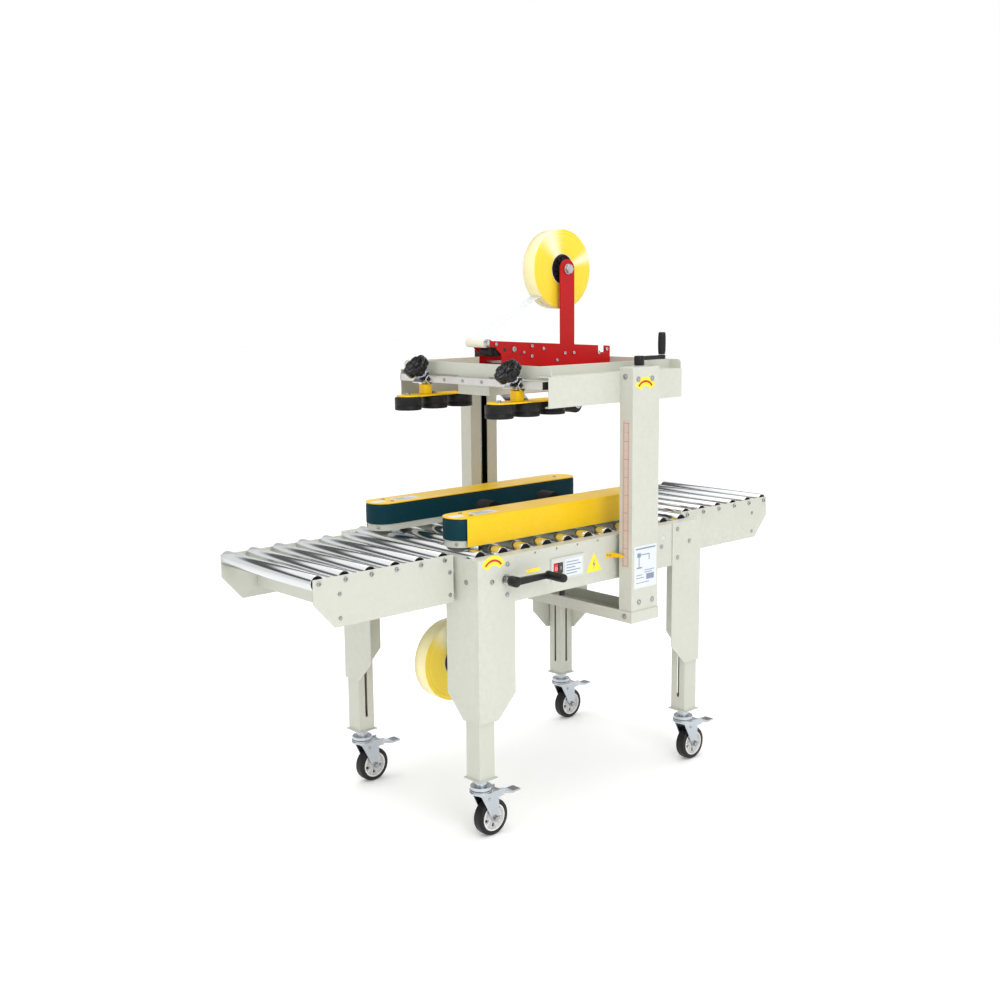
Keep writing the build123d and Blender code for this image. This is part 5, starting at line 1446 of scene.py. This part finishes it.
def build_switch():
    """A moulded case with a raised bezel round the two buttons and a plain scale beside them."""
    x0, x1, z0, z1 = SWITCH
    face = -BEAM_Y - 5
    bm = bmesh.new()
    hole = (STOP_X - 9, START_X + 9, BUTTON_Z - 15, BUTTON_Z + 15)
    for low, high in (((x0, z0), (hole[0], z1)), ((hole[1], z0), (x1, z1)),
                      ((hole[0], z0), (hole[1], hole[2])), ((hole[0], hole[3]), (hole[1], z1))):
        box(bm, (low[0], face, low[1]), (high[0], -BEAM_Y, high[1]))
    case = piece("switch_case", bm, [GREY_CASE], "frame")
    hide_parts("switch_box")
    # Painted shade: a dark sheet at the back of the button opening and a dark strip between the buttons.
    bm = bmesh.new()
    box(bm, (hole[0], -BEAM_Y - 1, hole[2]), (hole[1], -BEAM_Y, hole[3]))
    box(bm, ((STOP_X + START_X) / 2 - 0.8, face + 0.6, hole[2]),
        ((STOP_X + START_X) / 2 + 0.8, -BEAM_Y, hole[3]))
    piece("switch_well", bm, [PAINTED_SHADE], "frame")
    for name, x, finish, slot in (("stop_button", STOP_X, BUTTON_RED, "red_plastic"),
                                  ("start_button", START_X, BUTTON_BLACK, "black_gloss")):
        bm = bmesh.new()
        outline = [(-BEAM_Y - 3.0, BUTTON_Z - 13.4), (face - 0.8, BUTTON_Z - 12.5), (face - 0.2, BUTTON_Z),
                   (face - 0.8, BUTTON_Z + 12.5), (-BEAM_Y - 3.0, BUTTON_Z + 13.4)]
        prism(bm, "YZ", outline, x - 7.4, x + 7.4)
        button = piece(name + "_key", bm, [finish], name, bevel=0.6)
        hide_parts(name)
        bm = bmesh.new()
        if name == "stop_button":
            ring = [(3.2, face - 0.95), (4.4, face - 0.95), (4.4, face - 0.4), (3.2, face - 0.4)]
            lathe(bm, "Y", (x, 0, BUTTON_Z), ring + [ring[0]], 24)
        else:
            box(bm, (x - 0.6, face - 0.95, BUTTON_Z - 4.5), (x + 0.6, face - 0.4, BUTTON_Z + 4.5))
        piece(name + "_mark", bm, [LABEL_WHITE], name)
    bm = bmesh.new()
    low = BEAM_Y - 20
    bar(bm, "Z", (GLAND_X, -low, 0), 11, 628, 633.8, 6)
    bar(bm, "Z", (GLAND_X, -low, 0), 8.5, 614, 628, 24, round_by=1.5)
    piece("cable_gland", bm, [PLASTIC], "frame", bevel=0.6)


def plate_on(bm, face, low, high, thick=0.5, mat=0):
    """A thin label on a plane: face is (axis letter, coordinate, outward sign)."""
    axis, at, sign = face
    far = at + sign * thick
    if axis == "Y":
        box(bm, (low[0], min(at, far), low[1]), (high[0], max(at, far), high[1]), mat)
    else:
        box(bm, (min(at, far), low[0], low[1]), (max(at, far), high[0], high[1]), mat)


def arrow_sticker(name, body, x, y, z, width):
    """A bent yellow label with a plain red arc."""
    bm = bmesh.new()
    outer = width * 0.56
    inner = outer - width * 0.30
    drop = z - outer + width * 0.30
    band = arc(x, drop, outer, 150, 30, 20) + arc(x, drop, inner, 30, 150, 20)
    prism(bm, "XZ", band, y - 0.4, y)
    piece(name, bm, [LABEL_YELLOW], body)
    bm = bmesh.new()
    middle = (outer + inner) / 2
    stroke = arc(x, drop, middle + width * 0.035, 142, 38, 20)
    stroke += arc(x, drop, middle - width * 0.035, 38, 142, 20)
    prism(bm, "XZ", stroke, y - 0.6, y - 0.3)
    piece(name + "_arc", bm, [LABEL_RED], body)


def build_labels():
    arrow_sticker("leg_arrow", "frame", LEG_ARROW[0], -HALF_WIDTH, LEG_ARROW[1], ARROW_WIDTH)
    arrow_sticker("column_arrow", "gantry", COLUMN_ARROW[0], -COLUMN_OUTER_Y, COLUMN_ARROW[1], ARROW_WIDTH)
    bm = bmesh.new()
    prism(bm, "XZ", HAZARD_TRIANGLE, -BEAM_Y - 0.5, -BEAM_Y)
    piece("hazard_triangle", bm, [LABEL_YELLOW], "frame", bevel=0.15)
    bm = bmesh.new()
    prism(bm, "XZ", HAZARD_BOLT, -BEAM_Y - 0.8, -BEAM_Y - 0.4)
    piece("hazard_mark", bm, [LABEL_INK], "frame")
    bm = bmesh.new()
    plate_on(bm, ("Y", -BEAM_Y, -1), *BEAM_TAG)
    piece("beam_tag", bm, [LABEL_YELLOW], "frame")
    build_guide_label()
    build_ruler()
    build_belt_labels()
    build_switch_label()


def build_guide_label():
    """A white guide label with a plain line drawing of a crank and bars for its lines."""
    face = ("Y", -COLUMN_OUTER_Y, -1)
    bm = bmesh.new()
    plate_on(bm, face, *GUIDE_LABEL)
    piece("guide_label", bm, [LABEL_WHITE], "gantry")
    bm = bmesh.new()
    ink = ("Y", -COLUMN_OUTER_Y - 0.5, -1)
    for low, high in GUIDE_BARS:
        plate_on(bm, ink, low, high, 0.25)
    piece("guide_label_print", bm, [LABEL_INK], "gantry")


SCALE_LOW = 671.0
SCALE_HIGH = 1086.0
SCALE_STEP = 5.0


def build_ruler():
    """The height scale down the column's infeed side: two columns of ticks."""
    x = LIFT_X - COLUMN_HALF
    low, high = SCALE_LOW, SCALE_HIGH
    bm = bmesh.new()
    plate_on(bm, ("X", x, -1), (-352, low), (-326, high), 0.3)
    piece("height_scale", bm, [LABEL_SCALE], "gantry")
    bm = bmesh.new()
    step = SCALE_STEP
    count = int((high - low - 2 * step) / step)
    for index in range(count):
        z = low + step + index * step
        long = 9.5 if index % 10 == 0 else 6.5 if index % 5 == 0 else 4.5
        plate_on(bm, ("X", x - 0.3, -1), (-350, z), (-350 + long, z + 1.9), 0.2)
        plate_on(bm, ("X", x - 0.3, -1), (-328 - long, z), (-328, z + 1.9), 0.2)
    piece("height_scale_ticks", bm, [LABEL_PINK], "gantry")


def build_belt_labels():
    """Rating plates on the infeed end of each belt unit, with plain bars for their lines."""
    for label, side in (("near", -1), ("far", 1)):
        body = label + "_belt"
        y = side * BELT_Y
        bm = bmesh.new()
        box(bm, (-352, y - 24, BELT_TOP), (-272, y + 16, BELT_TOP + 0.5))
        box(bm, (-428, y - 18, BELT_TOP), (-384, y + 10, BELT_TOP + 0.4))
        piece(label + "_belt_plate", bm, [LABEL_WHITE], body)
        bm = bmesh.new()
        for index, reach in enumerate(BELT_PLATE_BARS):
            low = y - 19 + index * 6.5
            box(bm, (-346, low, BELT_TOP + 0.5), (-346 + reach, low + 2.5, BELT_TOP + 0.7))
        piece(label + "_belt_plate_print", bm, [LABEL_INK], body)


def build_switch_label():
    bm = bmesh.new()
    face = ("Y", -BEAM_Y - 5, -1)
    plate_on(bm, face, (-132, 672), (-66, 720), 0.4)
    piece("switch_label", bm, [LABEL_WHITE], "frame")
    bm = bmesh.new()
    ink = ("Y", -BEAM_Y - 5.4, -1)
    for index, reach in enumerate(SWITCH_BARS):
        low = 678 + index * 8
        plate_on(bm, ink, (-128, low), (-128 + reach, low + 2.4), 0.2)
    piece("switch_label_print", bm, [LABEL_INK], "frame")


def build_pointer():
    """The yellow height pointer: a tab screwed to the beam, bent out beside the scale."""
    bm = bmesh.new()
    prism(bm, "XZ", [(30.5, 699), (62.5, 697), (62.5, 711), (34, 713)], -BEAM_Y - 2.5, -BEAM_Y)
    prism(bm, "YZ", [(-BEAM_Y, 697), (-BEAM_Y - 40, 701), (-BEAM_Y - 44, 705), (-BEAM_Y - 34, 709),
                     (-BEAM_Y, 711)], 60, 62.5)
    pointer = piece("pointer_tab", bm, [YELLOW], "frame", bevel=0.4)
    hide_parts("height_pointer")
    places = [((38, -BEAM_Y - 2.5, 706), NEAR), ((48, -BEAM_Y - 2.5, 705), NEAR)]
    repeated("pointer_screws", CROSS, places, STEEL, "frame", 0.5)


# ---- screws ---------------------------------------------------------------------------------------
LEG_SPOTS = [(-342, 738), (-396, 698), (-343, 657), (337, 741), (392, 699), (339, 656)]
LEG_END_SPOT = (254, 698)
BEAM_SPOT = (270, 697)
TABLE_Y = 215.0
TABLE_FIRST_X = 869.3        # outermost roller axle
TABLE_PITCH = 77.2
TABLE_AXLE_Z = 756.0
TABLE_SPOTS = [(x, z) for x in (466, 810) for z in (662, 722)]
COLUMN_SPOTS = ((90, 1197), (146, 1197), (99, 572), (154, 572))
FAR_SCREW_INSET = 1.6        # keeps the far screws inside the object's own box
BAR_SCREWS_Y = (-60, 20, 100)


def build_leg_and_beam_screws():
    places = [((x, -HALF_WIDTH, z), NEAR) for x, z in LEG_SPOTS]
    places += [((x, HALF_WIDTH, z), FAR) for x, z in LEG_SPOTS]
    y, z = LEG_END_SPOT
    places += [((-HALF_BED, across * y, z), LEFT) for across in (-1, 1)]
    places += [((HALF_BED, across * y, z), RIGHT) for across in (-1, 1)]
    screws = repeated("leg_screws", CROSS, places, STEEL, "frame", 0.95)
    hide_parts("frame_screws")
    x, z = BEAM_SPOT
    places = [((x, -BEAM_Y, z), NEAR), ((-x, BEAM_Y, z), FAR), ((x, BEAM_Y, z), FAR)]
    repeated("beam_screws", CROSS, places, STEEL, "frame", 0.95)


def build_table_screws():
    places = []
    for side in (-1, 1):
        for index in range(TABLE_ROLLERS):
            x = side * (TABLE_FIRST_X - index * TABLE_PITCH)
            places += [((x, -TABLE_Y, TABLE_AXLE_Z), NEAR), ((x, TABLE_Y, TABLE_AXLE_Z), FAR)]
    repeated("table_axle_screws", SOCKET, places, STEEL, "frame", 1.1)
    places = []
    for side in (-1, 1):
        for x, z in TABLE_SPOTS:
            places += [((side * x, -TABLE_Y, z), NEAR), ((side * x, TABLE_Y, z), FAR)]
    repeated("table_screws", CROSS, places, STEEL, "frame", 0.8)


def build_column_screws():
    places = []
    for face_y, turn in ((-COLUMN_OUTER_Y, NEAR), (COLUMN_OUTER_Y - FAR_SCREW_INSET, FAR)):
        places += [((x, face_y, z), turn) for x, z in COLUMN_SPOTS]
    for side in (-1, 1):
        places.append(((LIFT_X - COLUMN_HALF, side * 335, 1204), LEFT))
        places.append(((LIFT_X + COLUMN_HALF, side * 335, 1204), RIGHT))
        places.append(((LIFT_X - COLUMN_HALF - SHEET, side * 339, 532), LEFT))
        places.append(((LIFT_X + COLUMN_HALF + SHEET, side * 339, 532), RIGHT))
    repeated("column_screws", CROSS, places, STEEL, "gantry", 1.1)


def build_belt_and_bar_screws():
    for label, side in (("near", -1), ("far", 1)):
        y = side * BELT_Y
        tops = [((-372, y - 22, BELT_TOP), UP), ((-372, y + 22, BELT_TOP), UP), ((290, y, BELT_TOP), UP)]
        repeated(label + "_cover_screws", CROSS, tops, STEEL, label + "_belt", 0.85)
        rims = []
        for angle in (215, 145):
            x = BELT_FRONT + BELT_R + (BELT_R - 4) * math.cos(math.radians(angle))
            rims.append(((x, y + (BELT_R - 4) * math.sin(math.radians(angle)), 787), (0, -90, angle - 180)))
        repeated(label + "_tray_screws", CROSS, rims, STEEL, label + "_belt", 0.7)
    bar_face = PRESS_BAR_X - PRESS_BAR_HALF - 0.2
    places = [((bar_face, y, PRESS_BAR_Z), LEFT) for y in BAR_SCREWS_Y]
    repeated("press_bar_screws", CROSS, places, STEEL, "gantry", 0.7)


PRESS_BAR_END = 301.0


def build_press_bar_caps():
    bm = bmesh.new()
    for side in (-1, 1):
        y0 = side * PRESS_BAR_END
        y1 = side * (PRESS_BAR_END + 2)
        half = PRESS_BAR_HALF + 0.3
        box(bm, (PRESS_BAR_X - half, min(y0, y1), PRESS_BAR_Z - half),
            (PRESS_BAR_X + half, max(y0, y1), PRESS_BAR_Z + half))
    piece("press_bar_caps", bm, [PLASTIC], "gantry", bevel=0.8)


build_camera()
build_floor()
build_light()
build_frame_skins()
build_column_liners()
build_castors()
build_table_rollers()
build_bed_rollers()
for unit_label, unit_side in (("near", -1), ("far", 1)):
    build_belt(unit_label, unit_side)
    build_belt_unit(unit_label, unit_side)
    build_press_unit(unit_label, unit_side)
build_tape_roll("upper", UPPER_ROLL)
build_tape_roll("lower", LOWER_ROLL)
build_roll_nut("upper", UPPER_ROLL, "gantry")
build_roll_nut("lower", LOWER_ROLL, "frame")
for arm_name in ARM_ROLLERS:
    build_swing_arm(arm_name)
build_red_head_details()
build_tape_web()
build_cranks()
build_switch()
build_pointer()
build_labels()
build_leg_and_beam_screws()
build_table_screws()
build_column_screws()
build_belt_and_bar_screws()
build_press_bar_caps()
